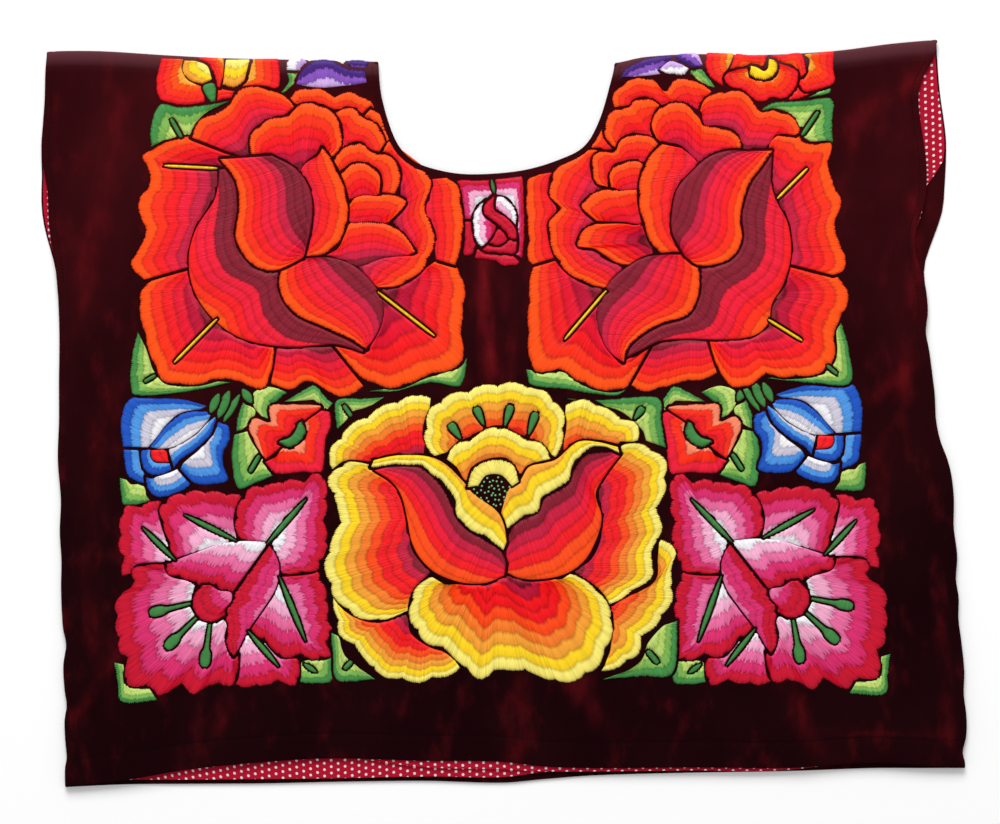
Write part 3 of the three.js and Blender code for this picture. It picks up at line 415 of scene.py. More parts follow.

# %% [markdown]
# ## Velvet
# Velvet is dark when seen straight into its pile and red where the pile is pressed over. So the
# colour is not a print but a map of the pile: long soft streaks where hands and folds have crushed
# it, and a fine nap. Light is painted into it as well: a grey sheen along the shoulder fold, shade
# between the hairs of the nap, and lit reds towards the shoulders with shaded reds towards the
# hem. The streaks are strokes in a table, kept as an attribute of the cloth's points.

# %% Velvet finish
CRUSHED = named_rows(("place", "from", "to", "width", "strength"), [
    ("centre under the bud", (-12, 112), (-10, 34), 5, 1.2),
    ("centre right of the bud", (2, 96), (8, 52), 4, 0.4),
    ("hem centre", (8, -212), (2, -262), 6, 0.5),
    ("hem right of centre", (52, -214), (70, -236), 7, 0.35),
    ("left armhole high", (-310, 206), (-286, 240), 7, 0.3),
    ("left diagonal high", (-318, 120), (-290, 214), 8, 0.3),
    ("left diagonal low", (-326, 70), (-300, 150), 5, 0.22),
    ("left waist", (-316, -60), (-300, 20), 10, 0.1),
    ("left side low", (-322, -108), (-306, -214), 6, 0.18),
    ("left corner", (-330, -222), (-296, -176), 4, 0.3),
    ("left hem", (-214, -214), (-222, -236), 5, 0.2),
    ("right armhole high", (268, 214), (318, 246), 7, 0.5),
    ("right of the leaf", (262, 168), (280, 226), 5, 0.3),
    ("right armhole foot", (316, 152), (320, 96), 3, 0.8),
    ("right under the armhole", (316, 92), (306, 20), 6, 0.55),
    ("right side", (290, -40), (276, -120), 9, 0.16),
    ("right waist", (286, 6), (316, 30), 5, 0.35),
    ("right hem", (214, -220), (234, -262), 7, 0.3),
    ("right corner", (332, -176), (336, -256), 4, 0.4),
    ("right hem seam", (240, -251), (330, -254), 2, 0.25),
])
# How far the painted grey sheen reaches down from the shoulder fold, in millimetres.
FOLD_SHEEN_WIDTH = 11
# Painted light: the span of y, in metres, over which the velvet goes from its shaded reds on the hem side
# to its lit reds on the shoulder side.
PAINTED_LIGHT_SPAN = (-0.12, 0.24)
# Of these reds, low and high are shaded and lit copies of one velvet, which is painted light; the pale one
# at the shoulder fold is a painted sheen, and the darkest is painted shade between the hairs.
VELVET_REDS = {
    "low": ((23, 2, 5), (30, 4, 7)), "high": ((44, 5, 9), (58, 9, 14)), "brushed": (78, 11, 17),
    "streak": (100, 14, 21), "fold_sheen": (112, 62, 70), "shade between hairs": (20, 0, 4),
}
SHARES_OF_RED = {"fold_sheen": 0.52, "shade between hairs": 0.3}


def pile_map(points):
    """How far the pile is crushed at each point, and how much painted grey sheen it gets near the shoulder
    fold.
    """
    x, y = points[..., 0], points[..., 1]
    crushed = np.zeros(x.shape)
    for stroke in CRUSHED:
        _, beside, past = along_stroke(x, y, stroke["from"], stroke["to"])
        crushed += stroke["strength"] * np.exp(-(beside**2 + past**2 / 4) / stroke["width"] ** 2)
    # Painted sheen: full at the shoulder fold, gone a few millimetres below it.
    fold_sheen = ease((FOLD_SHEEN_WIDTH - (fold_line(x) - y)) / FOLD_SHEEN_WIDTH)
    return crushed, fold_sheen


def set_attribute(piece, name, values):
    layer = piece.data.attributes.new(name, "FLOAT", "POINT")
    layer.data.foreach_set("value", values.astype(np.float32).ravel())


def mix_colour(material, factor, low, high):
    """A node that mixes two colours; each is a screen colour or another node's output."""
    mix = node(material, "ShaderNodeMix", data_type="RGBA")
    for socket, value in ((mix.inputs[6], low), (mix.inputs[7], high)):
        if isinstance(value, tuple):
            socket.default_value = (*linear(*value), 1)
        else:
            link(material, value, socket)
    link(material, factor, mix.inputs[0])
    return mix.outputs[2]


def noise_at(material, coordinates, scale, stretch=(1, 1, 1), detail=3, roughness=0.55):
    mapping = node(material, "ShaderNodeMapping")
    mapping.inputs["Scale"].default_value = stretch
    noise = node(material, "ShaderNodeTexNoise")
    noise.inputs["Scale"].default_value = scale
    noise.inputs["Detail"].default_value = detail
    noise.inputs["Roughness"].default_value = roughness
    link(material, coordinates, mapping.inputs["Vector"])
    link(material, mapping.outputs["Vector"], noise.inputs["Vector"])
    return noise.outputs["Fac"]


def between(material, value, low, high):
    """A value stretched so that low becomes 0 and high becomes 1."""
    stretch = node(material, "ShaderNodeMapRange", interpolation_type="SMOOTHSTEP")
    stretch.inputs["From Min"].default_value = low
    stretch.inputs["From Max"].default_value = high
    link(material, value, stretch.inputs["Value"])
    return stretch.outputs["Result"]


def combine(material, operation, first, second):
    """Two values, or a value and a number, put together."""
    sum_node = node(material, "ShaderNodeMath", operation=operation)
    for socket, value in zip(sum_node.inputs, (first, second)):
        if isinstance(value, (int, float)):
            socket.default_value = value
        else:
            link(material, value, socket)
    return sum_node.outputs["Value"]


velvet, velvet_shader = plain_material("wine velvet", (40, 5, 9), 0.7)
place = node(velvet, "ShaderNodeTexCoord").outputs["Object"]
mottle = between(velvet, noise_at(velvet, place, 9, (1.2, 0.8, 1)), 0.35, 0.7)
brushed = noise_at(velvet, place, 60, (1, 0.5, 1), 4)
along_body = node(velvet, "ShaderNodeSeparateXYZ")
link(velvet, place, along_body.inputs["Vector"])
# Painted light: 0 towards the hem, 1 towards the shoulders.
lit_towards_shoulders = between(velvet, along_body.outputs["Y"], *PAINTED_LIGHT_SPAN)
nap = noise_at(velvet, place, 2600, (1, 1, 1), 2)
crushed = node(velvet, "ShaderNodeAttribute", attribute_name="crushed").outputs["Fac"]
fold_sheen = node(velvet, "ShaderNodeAttribute", attribute_name="fold_sheen").outputs["Fac"]
# The shaded reds, the lit reds, and between them the painted light along the body.
low = mix_colour(velvet, mottle, *VELVET_REDS["low"])
high = mix_colour(velvet, mottle, *VELVET_REDS["high"])
ground = mix_colour(velvet, lit_towards_shoulders, low, high)
ground = mix_colour(velvet, between(velvet, brushed, 0.5, 0.95), ground, VELVET_REDS["brushed"])
streak = combine(velvet, "MULTIPLY", crushed, between(velvet, brushed, 0.25, 0.7))
ground = mix_colour(velvet, streak, ground, VELVET_REDS["streak"])
# Painted sheen: the pale grey red is mixed in along the shoulder fold.
shoulder = combine(velvet, "MULTIPLY", fold_sheen, SHARES_OF_RED["fold_sheen"])
ground = mix_colour(velvet, shoulder, ground, VELVET_REDS["fold_sheen"])
# Painted shade between the hairs of the nap, on a fine random pattern.
hairs = combine(velvet, "MULTIPLY", between(velvet, nap, 0.4, 0.8), SHARES_OF_RED["shade between hairs"])
ground = mix_colour(velvet, hairs, ground, VELVET_REDS["shade between hairs"])
link(velvet, ground, velvet_shader.inputs["Base Color"])
velvet_shader.inputs["Sheen Weight"].default_value = 0.08
velvet_shader.inputs["Sheen Roughness"].default_value = 0.35
velvet_shader.inputs["Sheen Tint"].default_value = (*linear(150, 40, 55), 1)
velvet_shader.inputs["Specular IOR Level"].default_value = 0.02
pile = node(velvet, "ShaderNodeBump")
pile.inputs["Strength"].default_value = 0.35
pile.inputs["Distance"].default_value = 0.0003
link(velvet, nap, pile.inputs["Height"])
link(velvet, pile.outputs["Normal"], velvet_shader.inputs["Normal"])
print("crushed streaks:", len(CRUSHED))

# %% [markdown]
# ## The velvet body
# Front and back are one length. Below the armholes the two layers are sewn, so their edges close
# on each other and the seam puckers. A row of stitches along each side and the hem draws a shallow
# groove. The neck is cut last, straight through both layers, as a dressmaker would.

# %% Velvet sheet
SEAM_ROUNDING = 7
SEAM_FADE = 12
SEAM_CLOSING = 1.3
STITCH_LINES = {"side": 7.4, "hem": 20, "armhole": 5.2}
ARMHOLE_GROOVE = 0.2
EDGE_ROUND = {"drop": 0.45, "width": 1.4}
PUCKER = {"height": 0.28, "pitch": 15.5, "small_pitch": 9.1, "drift": 31, "reach": 8, "border": 2.5}


def seam_pucker(y, from_side):
    """Small ridges that run in from a seam."""
    ripple = np.sin(2 * np.pi * y / PUCKER["pitch"] + 1.3 * np.sin(y / PUCKER["drift"]))
    ripple = ripple + 0.5 * np.sin(2 * np.pi * y / PUCKER["small_pitch"] + 2)
    fading = np.exp(-from_side / PUCKER["reach"]) * ease(from_side / PUCKER["border"])
    return PUCKER["height"] * (1 + ripple) * fading


def groove(distance, depth=0.35, width=1.1):
    return -depth * np.exp(-(distance / width) ** 2)


def velvet_points(across, rows):
    sides, row_falls, angles = rows[:, 0], rows[:, 1], np.radians(rows[:, 2])
    x, y, left, right, line = cloth_place(across, sides, row_falls, ("front", "back"))
    from_side = np.minimum(x - left, right - x)
    from_hem = (1 - row_falls[:, None]) * ROW_LENGTH + 0 * x
    sewn = ease((ARMHOLE_BOTTOM - y) / SEAM_FADE)
    closing = np.maximum(0, 1 - from_side / SEAM_ROUNDING) ** 2 * sewn
    from_edge = np.minimum(from_side, from_hem)
    rounding = EDGE_ROUND["drop"] * np.maximum(0, 1 - from_edge / EDGE_ROUND["width"]) ** 2
    lines = groove(from_side - STITCH_LINES["side"]) * sewn
    lines = lines + groove(from_side - STITCH_LINES["armhole"], ARMHOLE_GROOVE) * (1 - sewn)
    lines = lines + groove(from_hem - STITCH_LINES["hem"])
    reach = VELVET_OUTER - closing * SEAM_CLOSING - rounding + lines
    is_front = sides[:, None] > 0
    is_fold = sides[:, None] == 0
    lift = np.where(is_front, front_lift(x, y) + seam_pucker(y, from_side) * sewn, 0)
    fold_y = line + reach * np.cos(angles)[:, None]
    fold_z = MIDDLE + reach * np.sin(angles)[:, None]
    z = np.where(is_fold, fold_z, MIDDLE + sides[:, None] * reach + lift)
    return np.stack([x, np.where(is_fold, fold_y, y), np.maximum(z, 0)], axis=-1)


velvet_at = velvet_points(velvet_columns, velvet_rows)
velvet_body = grid_mesh("velvet", velvet_at)
crushed_at, fold_sheen_at = pile_map(velvet_at)
set_attribute(velvet_body, "crushed", crushed_at)
# The painted sheen along the shoulder fold is kept as an attribute of the points.
set_attribute(velvet_body, "fold_sheen", fold_sheen_at)
velvet_body.data.materials.append(velvet)
give_wall(velvet_body, VELVET_WALL)
print("velvet faces:", len(velvet_body.data.polygons))

# %% [markdown]
# ## The neck
# The cutter is an upright block with the scoop's outline. Boolean is the tool here because the
# outline crosses the grid's cells; moving cells onto the curve would stretch the pattern.

# %% Cut the neck
NECK_STEPS = 10
CUT_FLOOR = -5
CUT_HEIGHT = 25


def smooth_curve(points, steps=12):
    """A curve through points, with the same number of steps in each span."""
    p = np.array(points, float)
    padded = np.concatenate([p[:1], p, p[-1:]])
    t = np.arange(steps)[:, None] / steps
    spans = []
    for i in range(len(p) - 1):
        p0, p1, p2, p3 = padded[i : i + 4]
        v0, v1 = (p2 - p0) / 2, (p3 - p1) / 2
        bend = (2 * p1 - 2 * p2 + v0 + v1) * t + (3 * p2 - 3 * p1 - 2 * v0 - v1)
        spans.append(bend * t * t + v0 * t + p1)
    return np.concatenate([*spans, p[-1:]])


def grown(path, distance):
    """An open path moved to its right-hand side."""
    along = np.gradient(path, axis=0)
    along /= np.linalg.norm(along, axis=1)[:, None]
    return path + distance * np.stack([along[:, 1], -along[:, 0]], axis=1)


def neck_cutter(growth):
    outline = grown(smooth_curve(NECK, NECK_STEPS), growth)
    bpy.ops.object.select_all(action="DESELECT")
    bpy.ops.mesh.primitive_circle_add(vertices=len(outline), fill_type="NGON")
    cutter = bpy.context.object
    flat = np.column_stack([outline, np.full(len(outline), CUT_FLOOR)])
    put_points(cutter, flat)
    bpy.ops.object.mode_set(mode="EDIT")
    bpy.ops.mesh.select_all(action="SELECT")
    bpy.ops.mesh.extrude_region_move(TRANSFORM_OT_translate={"value": (0, 0, CUT_HEIGHT * MM)})
    bpy.ops.object.mode_set(mode="OBJECT")
    turn_faces_out()
    return cutter


def cut_neck(cloth, growth, solver):
    cutter = neck_cutter(growth)
    cut = cloth.modifiers.new("neck", "BOOLEAN")
    cut.object = cutter
    cut.operation = "DIFFERENCE"
    cut.solver = solver
    apply_all(cloth)
    bpy.data.objects.remove(cutter)


def smooth(piece, angle=50):
    select_only(piece)
    bpy.ops.object.shade_smooth_by_angle(angle=math.radians(angle))


cut_neck(velvet_body, 0, "EXACT")
smooth(velvet_body)
print("velvet faces after the cut:", len(velvet_body.data.polygons))

# %% [markdown]
# ## The turned neck edge
# Velvet and lining are turned in together round the neck, so the edge is a soft roll about four
# millimetres wide. It is a ring with a flattened section that follows the scoop along the front,
# goes over the fold at each shoulder and returns along the back.

# %% Neck roll
ROLL = {"inset": 1.7, "half_width": 1.9, "half_height": 1.42, "middle": 1.55, "sides": 10}
ROLL_TURNS = np.radians(np.arange(75, -76, -15))


def neck_ring():
    """The roll's middle line as a closed loop, with the direction that points out of the opening."""
    path = grown(smooth_curve(NECK, NECK_STEPS), ROLL["inset"])
    path = path[path[:, 1] < fold_line(path[:, 0])]
    out = grown(path, 1) - path
    ends = []
    for k in (-1, 0):
        line = fold_line(path[k, 0])
        round_y = line + ROLL["middle"] * np.cos(ROLL_TURNS)
        round_z = MIDDLE + ROLL["middle"] * np.sin(ROLL_TURNS)
        arc = np.column_stack([np.full(len(ROLL_TURNS), path[k, 0]), round_y, round_z])
        ends.append((arc, [(*out[k], 0.0)] * len(arc)))
    lift = front_lift(path[:, 0], path[:, 1])
    front = np.column_stack([path, MIDDLE + ROLL["middle"] + lift])
    back = np.column_stack([path, np.full(len(path), MIDDLE - ROLL["middle"])])
    out = np.column_stack([out, np.zeros(len(out))])
    line = np.concatenate([front, ends[0][0], back[::-1], ends[1][0][::-1]])
    return line, np.concatenate([out, ends[0][1], out[::-1], ends[1][1][::-1]])


def ring_mesh(name, line, out):
    """The roll's flattened section carried round its middle line."""
    along = np.roll(line, -1, axis=0) - np.roll(line, 1, axis=0)
    along /= np.linalg.norm(along, axis=1)[:, None]
    up = np.cross(along, out)
    up /= np.linalg.norm(up, axis=1)[:, None]
    turn = 2 * np.pi * np.arange(ROLL["sides"]) / ROLL["sides"]
    wide = ROLL["half_width"] * np.cos(turn)[None, :, None] * out[:, None]
    high = ROLL["half_height"] * np.sin(turn)[None, :, None] * up[:, None]
    points = line[:, None] + (wide + high)
    bpy.ops.object.select_all(action="DESELECT")
    bpy.ops.mesh.primitive_torus_add(major_segments=len(line), minor_segments=ROLL["sides"])
    ring = bpy.context.object
    ring.name = ring.data.name = name
    put_points(ring, points)
    turn_faces_out()
    return ring


ring_line, ring_out = neck_ring()
neck_roll = ring_mesh("neck_roll", ring_line, ring_out)
neck_roll.data.materials.append(velvet)
smooth(neck_roll)
print("neck roll steps:", len(ring_line))

# %% [markdown]
# ## Dotted lining
# The lining is thin plain cotton with woven threads and small white dots in staggered rows. The
# dots are made from two lattices of cells, one shifted by half a cell, read from the sheet's own
# map, so that they follow the cloth. It shows where the armholes gape and along the hem.

# %% Lining finish
DOT_CELL = (10.6, 4.9)
DOT_RADIUS = 1.0
DOT_SOFT_EDGE = (1.12, 0.88)
DOT_LATTICES = [(0.0, 0.0), (0.5, 0.5)]
LINING_REDS = ((152, 8, 34), (186, 20, 50))
DOT_WHITE = (232, 214, 218)

lining_cotton, lining_shader = plain_material("dotted cotton", (190, 20, 50), 0.85)
cloth_map = node(lining_cotton, "ShaderNodeUVMap", uv_map="cloth").outputs["UV"]
dots = []
for shift in DOT_LATTICES:
    lattice = node(lining_cotton, "ShaderNodeMapping")
    lattice.inputs["Location"].default_value = (*shift, 0)
    cell = node(lining_cotton, "ShaderNodeVectorMath", operation="FRACTION")
    centred = node(lining_cotton, "ShaderNodeVectorMath", operation="SUBTRACT")
    centred.inputs[1].default_value = (0.5, 0.5, 0)
    in_mm = node(lining_cotton, "ShaderNodeVectorMath", operation="MULTIPLY")
    in_mm.inputs[1].default_value = (*DOT_CELL, 0)
    distance = node(lining_cotton, "ShaderNodeVectorMath", operation="LENGTH")
    link(lining_cotton, cloth_map, lattice.inputs["Vector"])
    link(lining_cotton, lattice.outputs["Vector"], cell.inputs[0])
    link(lining_cotton, cell.outputs["Vector"], centred.inputs[0])
    link(lining_cotton, centred.outputs["Vector"], in_mm.inputs[0])
    link(lining_cotton, in_mm.outputs["Vector"], distance.inputs[0])
    dots.append(distance.outputs["Value"])
nearest_dot = combine(lining_cotton, "MINIMUM", *dots)
dot = between(lining_cotton, nearest_dot, *(DOT_RADIUS * share for share in DOT_SOFT_EDGE))
weave = noise_at(lining_cotton, cloth_map, 6, (12, 1, 1), 3)
cross_weave = noise_at(lining_cotton, cloth_map, 6, (2, 6, 1), 3)
weave = combine(lining_cotton, "ADD", weave, cross_weave)
red = mix_colour(lining_cotton, between(lining_cotton, weave, 0.7, 1.3), *LINING_REDS)
red = mix_colour(lining_cotton, dot, red, DOT_WHITE)
link(lining_cotton, red, lining_shader.inputs["Base Color"])
threads = node(lining_cotton, "ShaderNodeBump")
threads.inputs["Strength"].default_value = 0.4
threads.inputs["Distance"].default_value = 0.0002
link(lining_cotton, weave, threads.inputs["Height"])
link(lining_cotton, threads.outputs["Normal"], lining_shader.inputs["Normal"])
lining_shader.inputs["Specular IOR Level"].default_value = 0.1
print("dots every", DOT_CELL[1], "mm")

# %% Lining sheet
LINING_INSET = {"armhole": 1.6, "seam": 8}
LINING_CELL = 9
LINING_EDGE_STEPS = [0, 2, 5, 10]
LINING_HEM_STEPS = [0, 1, 3, 8]
LINING_NECK_GROWTH = 2.2
ROLLED_LINING = named_rows(("y", "inset"), [
    (90, 8), (110, 15.5), (148, 15.5), (160, 15.5), (170, 12), (180, 4), (190, 1.6),
])


def lining_inset(y):
    sewn = ease((ARMHOLE_BOTTOM - y) / SEAM_FADE)
    return LINING_INSET["armhole"] + (LINING_INSET["seam"] - LINING_INSET["armhole"]) * sewn


def lining_points(across, rows):
    sides, row_falls, angles = rows[:, 0], rows[:, 1], np.radians(rows[:, 2])
    x, y, left, right, line = cloth_place(across, sides, row_falls, ("front_lining", "back_lining"))
    is_front = sides[:, None] > 0
    is_fold = sides[:, None] == 0
    rolled = (y <= ROLLED_LINING[-1]["y"]) & (y >= ROLLED_LINING[0]["y"]) & ~is_front
    right_inset = np.where(rolled, read_table(ROLLED_LINING, "y", "inset", y), lining_inset(y))
    x = left + lining_inset(y) + (right - right_inset - left - lining_inset(y)) * across[None, :]
    lift = np.where(is_front, front_lift(x, y), 0)
    fold_y = line + LINING_OUTER * np.cos(angles)[:, None]
    fold_z = MIDDLE + LINING_OUTER * np.sin(angles)[:, None]
    z = np.where(is_fold, fold_z, MIDDLE + sides[:, None] * LINING_OUTER + lift)
    return np.stack([x, np.where(is_fold, fold_y, y), z], axis=-1)


def map_cloth(cloth, points, cell):
    """The sheet's own map: across and along the cloth, counted in steps of the pattern."""
    along = np.cumsum(np.linalg.norm(np.diff(points, axis=0, prepend=points[:1]), axis=2), axis=0)
    set_map(cloth, "cloth", np.stack([points[..., 0], along], axis=-1).reshape(-1, 2) / cell)


lining_columns = shares(LINING_EDGE_STEPS, COLUMN_WIDTH, LINING_CELL)
lining_at = lining_points(lining_columns, cloth_rows(LINING_CELL, LINING_CELL, LINING_HEM_STEPS))
lining_piece = grid_mesh("lining", lining_at)
map_cloth(lining_piece, lining_at, DOT_CELL)
lining_piece.data.materials.append(lining_cotton)
give_wall(lining_piece, LINING_WALL)
cut_neck(lining_piece, LINING_NECK_GROWTH, "FAST")
smooth(lining_piece)
print("lining faces:", len(lining_piece.data.polygons))

# %% [markdown]
# ## Thread colours
# Each petal is worked in rows of satin stitch, a new colour in each row, from a bright lip to a
# dark foot. The next row's threads start between the ends of the last, so the borders are ragged.
# A palette names the colours of the rows, how wide a row is, and how the lip waves.

# %% Palettes
COLOURS = {
    "orange": (255, 80, 18), "red orange": (248, 48, 24), "red": (240, 28, 34),
    "rose red": (232, 28, 54), "crimson": (198, 30, 64), "plum": (134, 29, 47),
    "pale yellow": (245, 228, 112), "yellow": (250, 208, 34), "amber": (242, 160, 52),
    "tangerine": (242, 124, 42), "flame": (250, 76, 26), "wine": (200, 18, 48),
    "deep pink": (215, 46, 108), "pink": (230, 110, 160), "pale pink": (242, 176, 206),
    "white": (238, 236, 240), "dark blue": (30, 84, 188), "blue": (78, 148, 222),
    "grey white": (204, 200, 216), "dark green": (68, 140, 70), "green": (126, 178, 84),
    "lime": (186, 212, 112), "stem green": (64, 130, 66), "purple": (70, 36, 120),
    "violet": (130, 80, 180), "lilac": (200, 166, 224), "gold": (250, 210, 36), "salmon": (245, 135, 100),
}
ROSE_ROWS = ("orange", "red orange", "red", "rose red", "rose red", "crimson", "plum", "plum", "plum")
ROSE_FRONT_ROWS = ("orange", "red orange", "red", "rose red")
ROSE_SWEEP_ROWS = ("plum", "plum", "plum", "rose red", "rose red", "red", "red orange", "orange")
ROSE_WRAP_ROWS = ("orange", "red orange", "red", "rose red", "rose red", "crimson", "plum", "plum")
ROSE_BACK_ROWS = ("orange", "red orange", "red", "rose red", "crimson", "plum")
LILY_ROWS = ("pale yellow", "yellow", "amber", "tangerine", "flame", "red", "red", "crimson", "plum")
BUD_PALE_ROWS = ("white", "pale pink", "deep pink", "wine")
LILY_CUP_ROWS = ("plum", "crimson", "rose red", "red", "flame", "orange")
ORCHID_ROWS = ("wine", "deep pink", "pink", "pale pink", "white")
LENS_ROWS = ("wine", "wine", "deep pink", "deep pink", "pink")
BLUE_ROWS = ("dark blue", "blue", "grey white", "white")
PALETTE_COLUMNS = ("thread", "slot", "rows", "row", "wave", "deep", "fan", "tuck", "ragged")
PALETTES = named_rows(PALETTE_COLUMNS, [
    ("rose deep", "thread_red", ROSE_ROWS, 6.9, 0, 0, 0.6, 1.0, 0.14),
    ("rose wrap", "thread_red", ROSE_WRAP_ROWS, 6.9, 0, 0, 0.6, 2.2, 0.14),
    ("rose sweep", "thread_red", ROSE_SWEEP_ROWS, 6.0, 0, 0, 0.2, 1.0, 0.14),
    ("rose front", "thread_red", ROSE_FRONT_ROWS, 6.9, 21, 1.4, 0.6, 2.0, 0.14),
    ("rose back", "thread_red", ROSE_BACK_ROWS, 6.9, 24, 1.8, 0.6, 2.2, 0.14),
    ("lily", "thread_yellow", LILY_ROWS, 6.9, 24, 3.2, 0.15, 2.4, 0.14),
    ("lily cup", "thread_yellow", LILY_CUP_ROWS, 6.9, 0, 0, 0.5, 0.8, 0.14),
    ("lily fold", "thread_yellow", ("pale yellow", "yellow", "amber"), 4.5, 20, 1.2, 0.5, 0.6, 0.14),
    ("lily crown", "thread_yellow", LILY_ROWS[:4], 6.9, 22, 2.4, 0.4, 2.0, 0.14),
    ("lily dome", "thread_yellow", ("pale yellow",), 12, 0, 0, 0, 0.4, 0.14),
    ("orchid", "thread_pink", ORCHID_ROWS, 6.9, 17, 2.8, 0.3, 2.2, 0.34),
    ("orchid lens", "thread_pink", LENS_ROWS, 4.6, 17, 2, 0.3, 1.2, 0.34),
    ("orchid bud", "thread_pink", ("wine", "wine", "deep pink", "pink"), 4, 0, 0, 0.3, 1.2, 0.3),
    ("bud frame", "thread_pink", ("wine", "deep pink", "pale pink", "white"), 4, 0, 0, 0.5, 0.8, 0.4),
    ("bud", "thread_pink", ("wine", "wine"), 6, 0, 0, 0.3, 0.7, 0.2),
    ("bud pale", "thread_pink", BUD_PALE_ROWS, 4.5, 0, 0, 0, 0.7, 0.4),
    ("blue flower", "thread_blue", BLUE_ROWS, 6, 0, 0, 0.3, 1.8, 0.24),
    ("heart", "thread_red", ("red", "red"), 6, 0, 0, 0, 1.0, 0.14),
    ("small upper", "thread_red", ("salmon", "red orange", "red", "red"), 5, 14, 1, 0.3, 0.8, 0.2),
    ("small lower", "thread_red", ("rose red", "red orange", "salmon"), 6, 0, 0, 0.3, 2.0, 0.2),
    ("flame", "thread_red", ("red", "red orange", "orange", "amber"), 5, 0, 0, 0.3, 1.4, 0.2),
    ("gold", "thread_yellow", ("amber", "gold", "pale yellow"), 4.5, 0, 0, 0.3, 1.0, 0.24),
    ("violet", "thread_purple", ("purple", "violet", "lilac"), 5, 0, 0, 0.3, 1.4, 0.34),
    ("violet pale", "thread_purple", ("white", "lilac"), 5, 0, 0, 0.3, 1.4, 0.3),
    ("leaf", "thread_green", ("dark green", "green", "lime", "lime"), 4.2, 0, 0, 0.5, 1.8, 0.3),
    ("stem", "thread_green", ("stem green",), 8, 0, 0, 0, 0, 0.14),
    ("stamen", "thread_yellow", ("yellow",), 8, 0, 0, 0, 0, 0.14),
])
ROW_SHADE = 0.28
ROW_BORDER = (0.26, 0.5)
GROOVE_SHADE = 0.2
GROOVE_BORDER = (0.25, 0.5)
THREAD_TINT = {"low": 0.94, "spread": 0.2}
FIBRE = {"across": 5, "scale": 1.5, "strength": 0.5, "depth": 0.00015}


def centred_fraction(material, value):
    """How far a value is from the middle between two whole numbers, from 0 to 0.5."""
    beside = combine(material, "SUBTRACT", combine(material, "FRACT", value, 0), 0.5)
    return combine(material, "ABSOLUTE", beside, 0)


def row_colours(material, row, rows):
    """A colour for each row of stitches, with no blend between them."""
    ramp = node(material, "ShaderNodeValToRGB")
    ramp.color_ramp.interpolation = "CONSTANT"
    ramp.color_ramp.elements.remove(ramp.color_ramp.elements[1])
    for i, name in enumerate(rows):
        stop = ramp.color_ramp.elements[0] if i == 0 else ramp.color_ramp.elements.new(i / len(rows))
        stop.color = (*linear(*COLOURS[name]), 1)
    link(material, combine(material, "DIVIDE", row, len(rows)), ramp.inputs["Fac"])
    return ramp.outputs["Color"]


def fibre_relief(material, split):
    """The fine twist inside each thread, as bump."""
    fibre = node(material, "ShaderNodeCombineXYZ")
    link(material, combine(material, "MULTIPLY", split.outputs["X"], FIBRE["across"]), fibre.inputs["X"])
    link(material, split.outputs["Y"], fibre.inputs["Y"])
    relief = node(material, "ShaderNodeBump")
    relief.inputs["Strength"].default_value = FIBRE["strength"]
    relief.inputs["Distance"].default_value = FIBRE["depth"]
    height = noise_at(material, fibre.outputs["Vector"], FIBRE["scale"], (1, 1, 1), 2)
    link(material, height, relief.inputs["Height"])
    return relief.outputs["Normal"]


def thread_material(palette):
    """Rows of one colour each with ragged borders, darker at the borders and between threads."""
    rows = palette["rows"]
    material, shader = plain_material("thread " + palette["thread"], COLOURS[rows[0]], 0.45)
    split = node(material, "ShaderNodeSeparateXYZ")
    stitches = node(material, "ShaderNodeUVMap", uv_map="stitches").outputs["UV"]
    link(material, stitches, split.inputs["Vector"])
    own = node(material, "ShaderNodeTexWhiteNoise", noise_dimensions="1D")
    link(material, combine(material, "FLOOR", split.outputs["X"], 0), own.inputs["W"])
    own_values = node(material, "ShaderNodeSeparateColor")
    link(material, own.outputs["Color"], own_values.inputs["Color"])
    start = combine(material, "SUBTRACT", own_values.outputs[0], 0.5)
    shift = combine(material, "MULTIPLY", start, palette["ragged"])
    row = combine(material, "ADD", split.outputs["Y"], shift)
    row_edge = between(material, centred_fraction(material, row), *ROW_BORDER)
    thread_edge = between(material, centred_fraction(material, split.outputs["X"]), *GROOVE_BORDER)
    shade = combine(
        material, "ADD", combine(material, "MULTIPLY", row_edge, ROW_SHADE),
        combine(material, "MULTIPLY", thread_edge, GROOVE_SHADE))
    tint = combine(material, "MULTIPLY", own_values.outputs[1], THREAD_TINT["spread"])
    tint = combine(material, "SUBTRACT", combine(material, "ADD", tint, THREAD_TINT["low"]), shade)
    grey = node(material, "ShaderNodeCombineColor")
    for socket in grey.inputs[:3]:
        link(material, tint, socket)
    mixed = node(material, "ShaderNodeMix", data_type="RGBA", blend_type="MULTIPLY")
    mixed.inputs[0].default_value = 1
    link(material, row_colours(material, row, rows), mixed.inputs[6])
    link(material, grey.outputs["Color"], mixed.inputs[7])
    link(material, mixed.outputs[2], shader.inputs["Base Color"])
    link(material, fibre_relief(material, split), shader.inputs["Normal"])
    shader.inputs["Specular IOR Level"].default_value = 0.12
    return material


palettes = {palette["thread"]: palette for palette in PALETTES}
thread_materials = {name: thread_material(palette) for name, palette in palettes.items()}
print("palettes:", len(palettes), "colours:", len(COLOURS))

# %% [markdown]
# ## Satin stitch
# A needle carries each thread from the petal's lip to its foot. So a petal is a grid whose columns
# are threads: two columns make one thread with its ridge and groove. The grid sinks into the
# velvet at its edge and swells over the padding. Where a petal in front is already worked, the
# next one stops short of it, which leaves a dark line of bare velvet between them.

